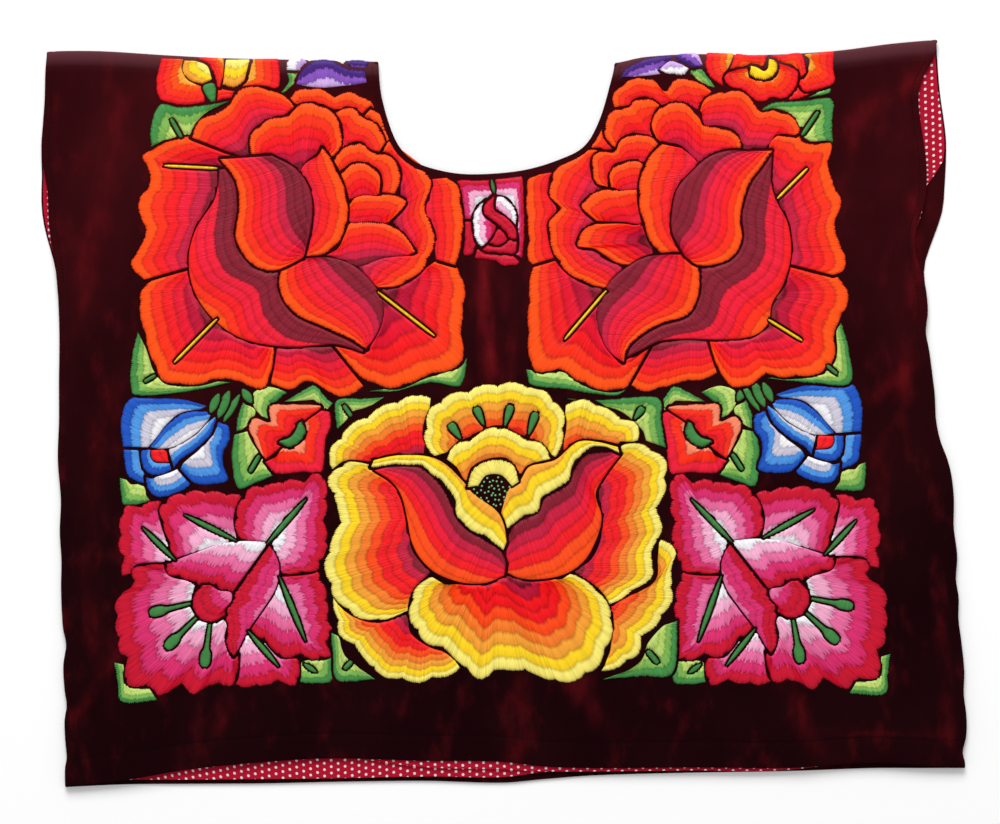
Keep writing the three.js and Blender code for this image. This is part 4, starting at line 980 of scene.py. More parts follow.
# %% Petal functions
THREAD = 1.45
STITCH_ROW = 2.6
PETAL = {
    "sunk": 0.6, "height": 0.95, "edge": 1.4, "pillow": 0.42, "ridge": 0.15, "uneven": 0.08, "fade": 2,
}
SPRIG_HEIGHT = 1.3
COMB = 0.35
SPRIG_COMB = 0.3
FULL_REACH = 6
LOBE = {"power": 0.7, "middle": 0.6}
RIM_STEPS = (0, 0.35, 0.9)
NARROW_PETAL = 2.4
NARROW_SHARES = (0, 0.15, 0.3)
FILLED = 0.7
LAST_ROW = 0.02
NEIGHBOUR = 2
LIP_SPREAD = 0.4
END_SPREAD = 1.3
SPRIG_SPREAD = 0.6
GAP = {"petal": 2.1, "sprig": 1.3, "neck": 4.2}
OUTLINE_STEP = 2.5
SAME_POINT = 0.02
THREAD_ANGLE = 60
NECK_OUTLINE = smooth_curve(NECK, NECK_STEPS)
NECK_EDGE = 3.4
NECK_NEARBY = {"half_width": 110, "bottom": 160}
EVEN_MEET = (0.5, 0.5)
SPRIG_SHAPES = {
    "even": [(0, 0.5), (0.1, 0.9), (0.25, 1), (0.75, 1), (0.9, 0.9), (1, 0.5)],
    "drop": [(0, 0.5), (0.12, 1), (0.35, 1), (0.7, 0.65), (1, 0.2)],
    "lens": [(0, 0.15), (0.15, 0.6), (0.35, 0.95), (0.6, 1), (0.85, 0.6), (1, 0.15)],
    "club": [(0, 0.5), (0.1, 1), (0.3, 1), (0.45, 0.5), (0.8, 0.35), (1, 0.25)],
}
draw = np.random.default_rng(11)


def even_points(curve, count, meet=EVEN_MEET):
    """Evenly spaced points on a curve, and its length; a foot can be denser on one side of a meeting."""
    steps = np.linalg.norm(np.diff(curve, axis=0), axis=1)
    along = np.concatenate([[0], np.cumsum(steps)])
    at = np.interp(np.linspace(0, 1, count), (0, meet[0], 1), (0, meet[1], 1)) * along[-1]
    return np.column_stack([np.interp(at, along, curve[:, k]) for k in (0, 1)]), along[-1]


def stretched(curve, length):
    """A curve made longer at both ends."""
    start = curve[0] - curve[1]
    end = curve[-1] - curve[-2]
    ends = [part * length / np.linalg.norm(part) for part in (start, end)]
    return np.concatenate([[curve[0] + ends[0]], curve, [curve[-1] + ends[1]]])


def kept_off_neck(points):
    """Points nearer to the neck's edge than the margin, or inside the opening, moved back on the cloth."""
    near = (np.abs(points[..., 0]) < NECK_NEARBY["half_width"]) & (points[..., 1] > NECK_NEARBY["bottom"])
    if not near.any():
        return points
    close = points[near]
    gaps = outline_distance(close, NECK_OUTLINE)
    away = np.linalg.norm(close[:, None] - NECK_OUTLINE[None], axis=2)
    nearest = NECK_OUTLINE[away.argmin(axis=1)]
    outward = (close - nearest) * np.sign(gaps)[:, None]
    outward /= np.maximum(np.linalg.norm(outward, axis=1), 1e-6)[:, None]
    short = np.maximum(0, NECK_EDGE - gaps)
    moved = points.copy()
    moved[near] = close + outward * short[:, None]
    return moved


def outline_distance(points, outline):
    """Distance of points to a closed outline, negative inside it."""
    x, y = points[..., 0], points[..., 1]
    nearest = np.full(x.shape, np.inf)
    inside = np.zeros(x.shape, bool)
    for (x0, y0), (x1, y1) in zip(outline, np.roll(outline, -1, axis=0)):
        ax, ay = x1 - x0, y1 - y0
        share = np.clip(((x - x0) * ax + (y - y0) * ay) / max(ax * ax + ay * ay, 1e-9), 0, 1)
        nearest = np.minimum(nearest, np.hypot(x - x0 - share * ax, y - y0 - share * ay))
        if y0 != y1:
            inside ^= ((y0 > y) != (y1 > y)) & (x < x0 + (y - y0) * ax / ay)
    return np.where(inside, -nearest, nearest)


def sprig_sides(bar):
    """A narrow bar of stitches as a lip and a foot, one on each side of its middle line."""
    start, end = np.array(bar["from"], float), np.array(bar["to"], float)
    along = end - start
    side = np.array([-along[1], along[0]]) / np.linalg.norm(along) * (bar["width"] + SPRIG_SPREAD) / 2
    shape = SPRIG_SHAPES[bar["shape"]]
    lip = [tuple(start + along * share + side * wide) for share, wide in shape]
    foot = [tuple(start + along * share - side * wide) for share, wide in shape]
    return lip, foot


def to_cloth(points, motif):
    """Points of a motif's own drawing on the cloth, mirrored for a mirrored motif; on_front later takes the
    top of a shoulder flower over the fold.
    """
    return np.array(points, float) * (motif["mirror"], 1) + motif["place"]


class Stitched:
    """One petal as a grid of thread columns, with all that its surface needs."""

    def __init__(self, entry, motif, worked):
        self.palette = palettes[entry["thread"]]
        self.is_sprig = "sprig" in entry
        lip, foot, along = self.sides(entry, motif)
        lip, foot = self.combed(lip, foot, along)
        reach = np.linalg.norm(lip - foot, axis=1)
        share = self.shares_across(reach.max())
        self.points = kept_off_neck(lip[None] + (foot - lip)[None] * share[:, None, None])
        to_lip = share[:, None] * reach[None]
        edge = self.edge_distance(to_lip, reach, along, worked)
        self.rows = self.colour_rows(to_lip, share, reach.max())
        self.height = self.heights(edge)

    def sides(self, entry, motif):
        """Lip and foot with a point for each column, and how far each column is along the lip."""
        drawn = sprig_sides(entry) if self.is_sprig else (entry["lip"], entry["foot"])
        spread = 0 if self.is_sprig else END_SPREAD
        lip_curve, foot_curve = (stretched(smooth_curve(to_cloth(side, motif)), spread) for side in drawn)
        longest = max(even_points(curve, 2)[1] for curve in (lip_curve, foot_curve))
        self.threads = max(3, int(round(longest / THREAD)))
        self.columns = np.arange(2 * self.threads + 1)
        lip, lip_length = even_points(lip_curve, len(self.columns))
        foot, _ = even_points(foot_curve, len(self.columns), entry["meet"])
        steps = max(4, int(lip_length / OUTLINE_STEP))
        self.outline = np.concatenate([even_points(lip, steps)[0], even_points(foot, steps)[0][::-1]])
        return lip, foot, np.linspace(0, lip_length, len(self.columns))

    def own_value(self, low, high):
        """A random value for each thread, the same in both of its columns."""
        return np.repeat(draw.uniform(low, high, self.threads + 1), 2)[: len(self.columns)]

    def combed(self, lip, foot, along):
        """Lip and foot with the comb of thread ends, the scallops and the tuck under other petals."""
        reach = np.linalg.norm(lip - foot, axis=1)
        outward = (lip - foot) / np.maximum(reach, 1e-6)[:, None]
        full = ease(reach / FULL_REACH)
        comb = np.where(self.columns % 2 == 1, COMB, -COMB) + self.own_value(-COMB, COMB)
        if self.palette["wave"] and not self.is_sprig:
            scallops = max(1, round(along[-1] / self.palette["wave"]))
            lobes = np.abs(np.sin(np.pi * scallops * along / along[-1])) ** LOBE["power"]
            comb = comb + self.palette["deep"] * (lobes - LOBE["middle"])
        comb = comb * (SPRIG_COMB if self.is_sprig else 1) * full
        spread = 0 if self.is_sprig else LIP_SPREAD
        lip = lip + outward * (comb + spread * full)[:, None]
        return lip, foot - outward * (self.palette["tuck"] * full)[:, None]

    def shares_across(self, widest):
        """Shares of the way from lip to foot: fine at both rims, even between them."""
        rims = np.array(RIM_STEPS) / widest if widest > NARROW_PETAL else np.array(NARROW_SHARES)
        inner = max(1, int(round((widest - 2 * RIM_STEPS[-1]) / STITCH_ROW)))
        return np.concatenate([rims[:-1], np.linspace(rims[-1], 1 - rims[-1], inner + 2), 1 - rims[-2::-1]])

    def edge_distance(self, to_lip, reach, along, worked):
        """How far each point is inside the petal's own edges and clear of all that is worked."""
        to_start = along[None] + 0 * to_lip
        edge = np.minimum(np.minimum(to_lip, reach[None] - to_lip), np.minimum(to_start, to_start[:, ::-1]))
        low, high = self.outline.min(0), self.outline.max(0)
        for outline, gap in worked:
            if (outline.min(0) - NEIGHBOUR < high).all() and (outline.max(0) + NEIGHBOUR > low).all():
                edge = np.minimum(edge, outline_distance(self.points, outline) - gap)
        return edge

    def colour_rows(self, to_lip, share, widest):
        """The row of colour that each point is in; in a fan the rows widen with the petal."""
        row_count, row, fan = len(self.palette["rows"]), self.palette["row"], self.palette["fan"]
        if widest / row > FILLED * row_count:
            row = widest / row_count
        rows = (1 - fan) * to_lip / row + fan * share[:, None] * widest / row
        return np.minimum(rows, row_count - LAST_ROW)

    def heights(self, edge):
        """Heights above the velvet: a swollen edge, a pillow for each row, a ridge for each thread."""
        swell = np.sqrt(1 - (1 - np.clip(edge / PETAL["edge"], 0, 1)) ** 2)
        top = SPRIG_HEIGHT if self.is_sprig else PETAL["height"]
        ridge = np.where(self.columns % 2 == 1, PETAL["ridge"], -PETAL["ridge"])
        ridge = ridge + self.own_value(-1, 1) * PETAL["uneven"]
        pillow = PETAL["pillow"] * np.abs(np.sin(np.pi * self.rows)) * (0 if self.is_sprig else 1)
        detail = (pillow + ridge[None]) * ease(edge / PETAL["fade"])
        return -PETAL["sunk"] + (top + PETAL["sunk"]) * swell + detail

    def gap(self):
        return GAP["sprig"] if self.is_sprig else GAP["petal"]


def petal_piece(stitched):
    """The petal's grid as an object with its threads' map."""
    places = on_front(stitched.points[..., 0], stitched.points[..., 1], stitched.height)
    row_count, column_count = places.shape[:2]
    grid = grid_mesh("petal", places)
    first_thread = int(draw.integers(0, 4000))
    across = np.broadcast_to(first_thread + np.arange(column_count) / 2, (row_count, column_count))
    set_map(grid, "stitches", np.stack([across, stitched.rows], axis=-1).reshape(-1, 2))
    grid.data.materials.append(thread_materials[stitched.palette["thread"]])
    return grid


def join_petals(name, grids):
    """All petals of one thread slot as one piece, each closed underneath."""
    select_only(grids[0])
    for grid in grids:
        grid.select_set(True)
    if len(grids) > 1:
        bpy.ops.object.join()
    piece = bpy.context.object
    piece.name = piece.data.name = name
    bpy.ops.object.mode_set(mode="EDIT")
    bpy.ops.mesh.select_all(action="SELECT")
    bpy.ops.mesh.remove_doubles(threshold=SAME_POINT * MM)
    bpy.ops.mesh.fill_holes(sides=0)
    bpy.ops.object.mode_set(mode="OBJECT")
    turn_faces_out()
    smooth(piece, THREAD_ANGLE)
    return piece


SLOT_WORDS = {
    "thread_red": "red", "thread_pink": "pink", "thread_yellow": "yellow", "thread_blue": "blue",
    "thread_purple": "purple", "thread_green": "green",
}
worked = [(NECK_OUTLINE, GAP["neck"])]


def work_motif(motif):
    """Work all petals of a motif, front ones first, and join them to one piece for each thread slot."""
    groups = {}
    for entry in motif["table"]:
        stitched = Stitched(entry, motif, worked)
        worked.append((stitched.outline, stitched.gap()))
        groups.setdefault(stitched.palette["slot"], []).append(petal_piece(stitched))
    made = []
    for slot, petals in groups.items():
        made.append(join_petals(motif["motif"] + "_" + SLOT_WORDS[slot], petals))
    return made


print("a thread is", THREAD, "mm wide")

# %% [markdown]
# ## Rose
# The rose is drawn as petals in front of petals: a swirl in the middle, wraps round it and open
# petals behind. Each row of the table is one petal by two lines of points in millimetres, the
# lip and the foot, and a short bar of stitches by its two ends. The front petals come first.
# Threads join lip and foot at the same share of their lengths. Where a petal bends, `meet` gives
# the share of the lip and the share of the foot that one thread joins at the bend.

# %% Rose table
def petal(name, thread, lip, foot, meet=EVEN_MEET):
    return {"petal": name, "thread": thread, "lip": lip, "foot": foot, "meet": meet}


def sprig(name, thread, start, end, width, shape):
    return {
        "sprig": name, "thread": thread, "from": start, "to": end, "width": width, "shape": shape,
        "meet": EVEN_MEET,
    }


ROSE = [
    sprig("upper stamen", "stamen", (-102, 54), (-61, 51), 1.7, "even"),
    sprig("lower stamen", "stamen", (-64, -64), (-98, -97), 1.7, "even"),
    sprig("right stamen", "stamen", (59, -46), (102, -81), 1.7, "even"),
    sprig("leaf above vein", "stem", (-96, 90), (-88, 75), 2.6, "even"),
    sprig("leaf left vein", "stem", (-112, -106), (-121, -111), 2.2, "even"),
    petal("left swirl", "rose deep",
        lip=[(-58, 57), (-47, 41), (-45, 21), (-48, -2), (-38, -21), (-20, -28), (2, -19)],
        foot=[(-19, 59), (-1, 48), (9, 30), (9, 7), (3, -18)]),
    petal("right swirl", "rose wrap",
        lip=[(1, -21), (-13, -27), (-15, -44), (-4, -61), (18, -72), (37, -81), (49, -89)],
        foot=[(3, -20), (23, -20), (43, -29), (59, -49), (60, -69), (50, -88)]),
    petal("tall centre", "rose front",
        lip=[(20, 64), (31, 44), (37, 22), (34, 1), (22, -14), (5, -18)],
        foot=[(16, 59), (4, 47), (12, 26), (12, 3), (5, -16)]),
    petal("small dome", "rose front",
        lip=[(34, 27), (32, 41), (40, 50), (53, 51), (62, 42), (62, 30)],
        foot=[(37, 26), (49, 30), (61, 29)]),
    petal("upper point", "rose front",
        lip=[(40, 22), (46, 27), (61, 28), (82, 23), (70, 8)],
        foot=[(39, 14), (41, 9), (55, 9), (68, 7)]),
    petal("lower point", "rose back",
        lip=[(32, -11), (39, 6), (56, 9), (74, 2), (88, -15)],
        foot=[(23, -17), (34, -22), (46, -24), (66, -18), (86, -17)]),
    petal("dome arch", "rose front",
        lip=[(28, 55), (37, 64), (48, 67), (57, 60), (70, 57), (78, 44), (73, 27)],
        foot=[(33, 47), (42, 54), (54, 53), (64, 45), (66, 28)]),
    petal("long wrap", "rose sweep",
        lip=[(-50, 50), (-43, 27), (-44, 0), (-36, -19), (-14, -28), (-11, -48), (3, -66), (28, -75),
             (47, -86)],
        foot=[(-59, 49), (-63, 28), (-78, 5), (-84, -18), (-80, -43), (-65, -65), (-42, -80), (-9, -86),
              (26, -85), (46, -91)]),
    petal("crown", "rose back",
        lip=[(-35, 61), (-34, 76), (-22, 86), (-8, 89), (5, 98), (20, 96), (32, 84), (33, 67), (27, 58)],
        foot=[(-22, 62), (-9, 56), (3, 48), (14, 59), (22, 64)]),
    petal("right back", "rose back",
        lip=[(66, 62), (72, 68), (83, 60), (94, 49), (101, 36), (96, 15), (103, -4), (95, -27), (78, -40),
             (61, -43)],
        foot=[(68, 58), (78, 46), (79, 27), (74, 7), (84, -10), (74, -17), (46, -22), (56, -40)]),
    petal("top left", "rose back",
        lip=[(-80, 76), (-72, 88), (-52, 97), (-43, 110), (-24, 111), (-9, 104), (-1, 96)],
        foot=[(-51, 63), (-39, 61), (-37, 77), (-25, 87), (-9, 90), (-2, 95)]),
    petal("crown right", "rose front",
        lip=[(31, 92), (43, 94), (52, 86), (62, 80), (67, 67), (63, 60)],
        foot=[(35, 80), (35, 65), (47, 68), (59, 61)]),
    petal("far right", "rose front",
        lip=[(115, 39), (122, 31), (125, 4), (122, -15), (119, -26)],
        foot=[(102, 38), (98, 15), (104, -5), (106, -22)]),
    petal("neck side", "rose front",
        lip=[(58, 93), (66, 86), (71, 74), (72, 68)],
        foot=[(53, 88), (60, 81), (66, 70), (67, 65)]),
    petal("top strip", "rose front",
        lip=[(-5, 102), (3, 109), (19, 109), (29, 104), (43, 106), (57, 98), (60, 90)],
        foot=[(1, 99), (20, 99), (32, 95), (46, 94), (55, 87)]),
    petal("left", "rose back",
        lip=[(-120, -32), (-128, -19), (-117, 1), (-122, 27), (-113, 38), (-114, 53), (-117, 62),
             (-105, 69), (-86, 75), (-65, 74), (-51, 62)],
        foot=[(-85, -23), (-77, 5), (-63, 25), (-62, 49), (-55, 58)], meet=(0.55, 0.87)),
    petal("lower left", "rose back",
        lip=[(-87, -25), (-107, -30), (-122, -45), (-120, -71), (-112, -99), (-103, -111), (-80, -113),
             (-58, -109), (-39, -116), (-27, -114), (-21, -87)],
        foot=[(-83, -27), (-79, -45), (-66, -64), (-43, -80), (-26, -86)], meet=(0.52, 0.47)),
    petal("bottom middle", "rose back",
        lip=[(-23, -115), (-8, -118), (7, -113), (27, -125), (46, -119)],
        foot=[(-18, -87), (0, -88), (22, -88)]),
    petal("lower right", "rose back",
        lip=[(105, -24), (120, -30), (125, -49), (122, -73), (123, -93), (119, -104), (94, -111),
             (73, -119), (55, -116), (38, -104), (22, -87)],
        foot=[(95, -30), (80, -42), (62, -46), (61, -72), (50, -92)], meet=(0.46, 0.43)),
    petal("leaf above", "leaf",
        lip=[(-111, 70), (-111, 84), (-104, 100), (-89, 98), (-70, 99), (-52, 102)],
        foot=[(-99, 74), (-88, 73), (-81, 79), (-74, 91)]),
    petal("leaf left", "leaf",
        lip=[(-125, -74), (-129, -90), (-131, -113), (-125, -121), (-90, -119), (-56, -113)],
        foot=[(-119, -86), (-115, -103), (-103, -114), (-79, -114), (-67, -112)]),
    petal("leaf right", "leaf",
        lip=[(52, -122), (71, -122), (98, -116), (120, -119), (126, -99)],
        foot=[(67, -120), (90, -114), (113, -108), (123, -102)]),
]
print("rose:", len(ROSE), "parts")

# %% [markdown]
# ## Right rose
# The other rose has the same build the other way round, but a hand never works a flower twice
# alike. Each of its petals differs a little, so it has its own table.

# %% Right rose table
ROSE_RIGHT = [
    sprig("upper stamen", "stamen", (95, 49), (71, 26), 1.7, "even"),
    sprig("right stamen", "stamen", (62, -66), (88, -83), 1.7, "even"),
    sprig("left stamen", "stamen", (-61, -41), (-94, -78), 1.7, "even"),
    sprig("leaf above vein", "stem", (104, 92), (91, 74), 2.6, "even"),
    sprig("leaf right vein", "stem", (106, -102), (114, -109), 2.2, "even"),
    petal("right swirl", "rose deep",
        lip=[(67, 62), (59, 51), (50, 39), (44, 23), (42, 10), (43, -4), (36, -17), (22, -23), (9, -23),
             (2, -18)],
        foot=[(49, 63), (33, 63), (19, 58), (6, 47), (-5, 34), (-9, 17), (-9, 1), (-1, -15)]),
    petal("left swirl", "rose wrap",
        lip=[(2, -16), (8, -23), (10, -33), (8, -48), (0, -61), (-20, -67), (-35, -75), (-46, -85),
             (-49, -95)],
        foot=[(-11, -15), (-29, -17), (-44, -25), (-57, -36), (-66, -55), (-66, -68), (-61, -83),
              (-52, -94)]),
    petal("tall centre", "rose front",
        lip=[(-17, 69), (-26, 59), (-32, 46), (-34, 31), (-32, 15), (-26, -4), (-17, -14), (-3, -16)],
        foot=[(-2, 66), (9, 54), (-1, 42), (-9, 24), (-9, 7), (-4, -9), (-2, -15)]),
    petal("small dome", "rose front",
        lip=[(-56, 39), (-56, 47), (-52, 53), (-44, 56), (-34, 56), (-30, 53)],
        foot=[(-52, 37), (-45, 37), (-36, 38), (-35, 40)]),
    petal("upper point", "rose front",
        lip=[(-68, 13), (-78, 24), (-68, 33), (-51, 37), (-36, 37)],
        foot=[(-61, 12), (-48, 12), (-35, 11), (-35, 21)]),
    petal("lower point", "rose back",
        lip=[(-38, -21), (-48, -21), (-61, -15), (-69, -9), (-82, -6), (-77, 5), (-65, 10), (-48, 11),
             (-34, 9)],
        foot=[(-27, -16), (-28, -7), (-32, 1), (-34, 8)]),
    petal("dome arch", "rose front",
        lip=[(-58, 38), (-66, 41), (-69, 49), (-69, 59), (-64, 64), (-52, 65), (-47, 73), (-37, 77),
             (-24, 74), (-18, 69)],
        foot=[(-56, 38), (-56, 47), (-51, 56), (-44, 57), (-34, 57), (-27, 58)]),
    petal("long wrap", "rose sweep",
        lip=[(63, 59), (49, 39), (41, 20), (41, -4), (31, -18), (11, -28), (6, -48), (-3, -59), (-27, -67),
             (-47, -88)],
        foot=[(67, 59), (66, 39), (70, 24), (78, 7), (80, -16), (74, -38), (65, -53), (61, -69), (49, -78),
              (26, -80), (-1, -79), (-21, -80), (-37, -87), (-47, -92)]),
    petal("crown", "rose back",
        lip=[(-21, 76), (-23, 84), (-18, 96), (-8, 100), (3, 99), (12, 90), (16, 82), (28, 81), (39, 76),
             (44, 68), (43, 64)],
        foot=[(-16, 71), (-2, 66), (8, 55), (19, 58), (34, 63)]),
    petal("left back", "rose back",
        lip=[(-65, 66), (-75, 65), (-89, 57), (-99, 49), (-102, 33), (-95, 22), (-103, 11), (-102, -4),
             (-96, -19), (-83, -31), (-65, -38), (-59, -38)],
        foot=[(-69, 62), (-69, 49), (-63, 35), (-77, 22), (-70, 12), (-80, -4), (-64, -15), (-51, -24),
              (-54, -34)]),
    petal("top right", "rose back",
        lip=[(14, 96), (18, 103), (30, 108), (44, 108), (53, 102), (60, 92), (71, 93), (83, 88), (89, 78),
             (87, 75)],
        foot=[(15, 92), (17, 83), (28, 82), (41, 76), (46, 66), (62, 64), (64, 71), (71, 76)]),
    petal("left crown", "rose front",
        lip=[(-51, 67), (-59, 77), (-58, 87), (-52, 96), (-40, 98), (-36, 103), (-26, 104), (-18, 99),
             (-18, 94)],
        foot=[(-48, 71), (-37, 77), (-24, 76), (-22, 82), (-19, 92)]),
    petal("neck side", "rose front",
        lip=[(-62, 83), (-67, 74), (-77, 66)],
        foot=[(-59, 78), (-52, 67), (-65, 66)]),
    petal("top strip", "rose front",
        lip=[(-52, 99), (-52, 108), (-44, 116), (-33, 120), (-21, 118), (-13, 110), (-4, 118), (7, 118),
             (22, 110)],
        foot=[(-41, 98), (-36, 104), (-25, 104), (-17, 98), (-7, 100), (7, 99), (14, 97), (21, 107)]),
    petal("far left", "rose front",
        lip=[(-112, 48), (-119, 43), (-120, 23), (-119, 3), (-120, -13), (-118, -19)],
        foot=[(-102, 49), (-104, 34), (-96, 22), (-105, 11), (-103, -4), (-100, -14)]),
    petal("right", "rose back",
        lip=[(114, -33), (120, -29), (121, -17), (114, 1), (119, 23), (113, 38), (110, 50), (113, 66),
             (101, 67), (91, 68), (87, 74), (76, 76), (68, 74), (63, 66)],
        foot=[(80, -23), (80, -5), (76, 10), (70, 26), (66, 39), (67, 54), (67, 62)], meet=(0.65, 0.57)),
    petal("lower right", "rose back",
        lip=[(80, -25), (95, -27), (113, -34), (122, -44), (121, -59), (112, -75), (112, -93), (102, -107),
             (75, -110), (59, -108), (47, -115), (35, -117), (25, -106), (21, -96), (17, -82)],
        foot=[(79, -30), (78, -40), (65, -54), (61, -67), (46, -80), (29, -81), (18, -81)],
        meet=(0.52, 0.48)),
    petal("bottom middle", "rose back",
        lip=[(21, -107), (5, -111), (-8, -112), (-20, -116), (-33, -118), (-43, -115)],
        foot=[(16, -83), (-1, -81), (-17, -83), (-26, -86)]),
    petal("lower left", "rose back",
        lip=[(-100, -14), (-116, -20), (-119, -37), (-121, -62), (-121, -88), (-116, -101), (-96, -101),
             (-84, -109), (-71, -115), (-55, -117), (-43, -111), (-32, -99), (-26, -85)],
        foot=[(-96, -19), (-83, -32), (-62, -40), (-66, -60), (-62, -83), (-48, -96)], meet=(0.48, 0.39)),
    petal("leaf above", "leaf",
        lip=[(61, 94), (70, 99), (92, 100), (114, 101), (114, 84), (114, 69)],
        foot=[(68, 93), (80, 91), (88, 85), (90, 77), (98, 70)]),
    petal("leaf right", "leaf",
        lip=[(118, -71), (123, -92), (123, -116), (95, -115), (62, -111)],
        foot=[(115, -75), (114, -97), (103, -108), (87, -110), (70, -110)]),
    petal("leaf left", "leaf",
        lip=[(-45, -114), (-55, -121), (-75, -119), (-96, -115), (-119, -112), (-123, -101)],
        foot=[(-50, -116), (-66, -116), (-86, -108), (-99, -102), (-118, -101)]),
]
print("right rose:", len(ROSE_RIGHT), "parts")

# %% [markdown]
# ## Lily
# The flower in the centre opens like a lily. Its yellow lips wave, its cup is dark inside, and
# a bare spot of velvet in the middle is sown with knots.

# %% Lily table
LILY = [
    sprig("first mark", "stem", (-39, 85), (-31, 73), 5.6, "drop"),
    sprig("second mark", "stem", (-19, 97), (-13, 83), 5, "drop"),
    sprig("third mark", "stem", (8, 98), (3, 82), 5, "drop"),
    sprig("fourth mark", "stem", (27, 92), (21, 75), 5, "drop"),
    sprig("top right vein", "stem", (109, 94), (102, 85), 4.6, "drop"),
    sprig("low right vein", "stem", (108, -92), (116, -102), 3.4, "even"),
    sprig("low left vein", "stem", (-118, -95), (-124, -101), 3, "even"),
    sprig("top left vein", "stem", (-120, 101), (-114, 92), 2.6, "even"),
    petal("dome", "lily dome",
        lip=[(-26, 37), (-21, 50), (-6, 56), (8, 52), (12, 40)],
        foot=[(-18, 38), (-12, 45), (-1, 45), (7, 37)]),
    petal("fold left", "lily fold",
        lip=[(-99, 53), (-85, 55), (-63, 54), (-54, 48), (-42, 37), (-36, 26), (-35, 15), (-25, 4),
             (-11, -3), (-1, -12)],
        foot=[(-97, 58), (-80, 61), (-58, 60), (-44, 54), (-31, 41), (-22, 30), (-6, 18), (0, 7), (2, -6)]),
    petal("fold right", "lily fold",
        lip=[(2, 3), (13, 12), (26, 17), (30, 27), (41, 34), (50, 39), (54, 51), (65, 63), (78, 65),
             (89, 60)],
        foot=[(-1, 16), (5, 33), (14, 40), (21, 50), (34, 53), (43, 56), (58, 68), (74, 68), (88, 64)]),
    petal("crown", "lily crown",
        lip=[(-42, 59), (-34, 68), (-22, 73), (-4, 81), (15, 73), (30, 67), (37, 57)],
        foot=[(-34, 51), (-28, 43), (-23, 53), (-9, 59), (5, 59), (14, 47), (23, 53)]),
    petal("cup left", "lily cup",
        lip=[(-85, 53), (-64, 52), (-47, 37), (-40, 23), (-31, 6), (-15, -5), (-3, -13), (1, -22)],
        foot=[(-96, 50), (-84, 42), (-77, 31), (-73, 14), (-70, -4), (-63, -18), (-51, -29), (-33, -36),
              (-15, -37), (-1, -32)]),
    petal("cup right", "lily cup",
        lip=[(85, 60), (65, 58), (55, 46), (49, 35), (31, 25), (26, 15), (10, 7), (3, -4)],
        foot=[(90, 58), (79, 44), (71, 29), (75, 11), (70, -7), (60, -23), (45, -32), (27, -35), (12, -34),
              (2, -29)]),
    petal("bottom", "lily",
        lip=[(-57, -32), (-69, -44), (-72, -61), (-64, -78), (-43, -90), (-22, -109), (-2, -103),
             (20, -107), (41, -114), (64, -107), (77, -88), (81, -67), (72, -47), (52, -32)],
        foot=[(-45, -38), (-22, -40), (1, -35), (24, -37), (43, -36)]),
    petal("left side", "lily",
        lip=[(-101, 55), (-120, 56), (-132, 42), (-124, 19), (-130, -2), (-136, -19), (-131, -42),
             (-117, -58), (-97, -64), (-76, -58)],
        foot=[(-98, 51), (-80, 33), (-74, 12), (-71, -11), (-59, -30), (-67, -44), (-74, -56)]),
    petal("right side", "lily",
        lip=[(93, 66), (110, 64), (124, 52), (124, 33), (118, 15), (120, -3), (111, -17), (114, -31),
             (104, -42), (78, -57)],
        foot=[(89, 55), (77, 40), (76, 20), (77, -3), (69, -21), (55, -32), (66, -43), (73, -53)]),
    petal("top middle", "lily",
        lip=[(-53, 61), (-58, 79), (-49, 100), (-23, 110), (8, 114), (35, 106), (48, 86), (42, 58)],
        foot=[(-44, 63), (-34, 72), (-22, 77), (-3, 84), (18, 76), (36, 61)]),
    petal("top left", "lily",
        lip=[(-131, 53), (-128, 70), (-113, 85), (-94, 96), (-75, 104), (-54, 106)],
        foot=[(-102, 56), (-85, 60), (-61, 61)]),
    petal("top right", "lily",
        lip=[(51, 98), (69, 99), (86, 89), (102, 81), (105, 70)],
        foot=[(48, 59), (58, 65), (70, 71), (82, 70), (93, 67)]),
    petal("lower left", "lily",
        lip=[(-131, -42), (-129, -58), (-126, -73), (-110, -89), (-98, -104), (-70, -111), (-51, -108),
             (-36, -103)],
        foot=[(-122, -55), (-107, -65), (-79, -61), (-73, -77), (-58, -88), (-43, -92)]),
    petal("lower right", "lily",
        lip=[(120, -7), (131, -18), (126, -33), (128, -48), (120, -66), (105, -81), (97, -97), (73, -107)],
        foot=[(118, -20), (118, -35), (106, -46), (83, -58), (83, -76), (81, -93), (75, -103)]),
    petal("leaf top left", "leaf",
        lip=[(-125, 84), (-125, 104), (-106, 105), (-90, 106)],
        foot=[(-120, 88), (-114, 97), (-98, 101)]),
    petal("leaf top right", "leaf",
        lip=[(51, 102), (77, 100), (119, 101), (122, 84), (125, 64)],
        foot=[(78, 96), (96, 90), (109, 78), (112, 69)]),
    petal("leaf low left", "leaf",
        lip=[(-133, -74), (-132, -91), (-129, -109), (-102, -109)],
        foot=[(-129, -76), (-124, -92), (-112, -101)]),
    petal("leaf low right", "leaf",
        lip=[(75, -113), (103, -111), (127, -109), (131, -71)],
        foot=[(103, -103), (109, -88), (123, -73)]),
]
print("lily:", len(LILY), "parts")

# %% [markdown]
# ## Orchid
# The pink flowers at the lower corners have petals round a small bud, with green veins and three
# clubs in front of the white foot of the petals.

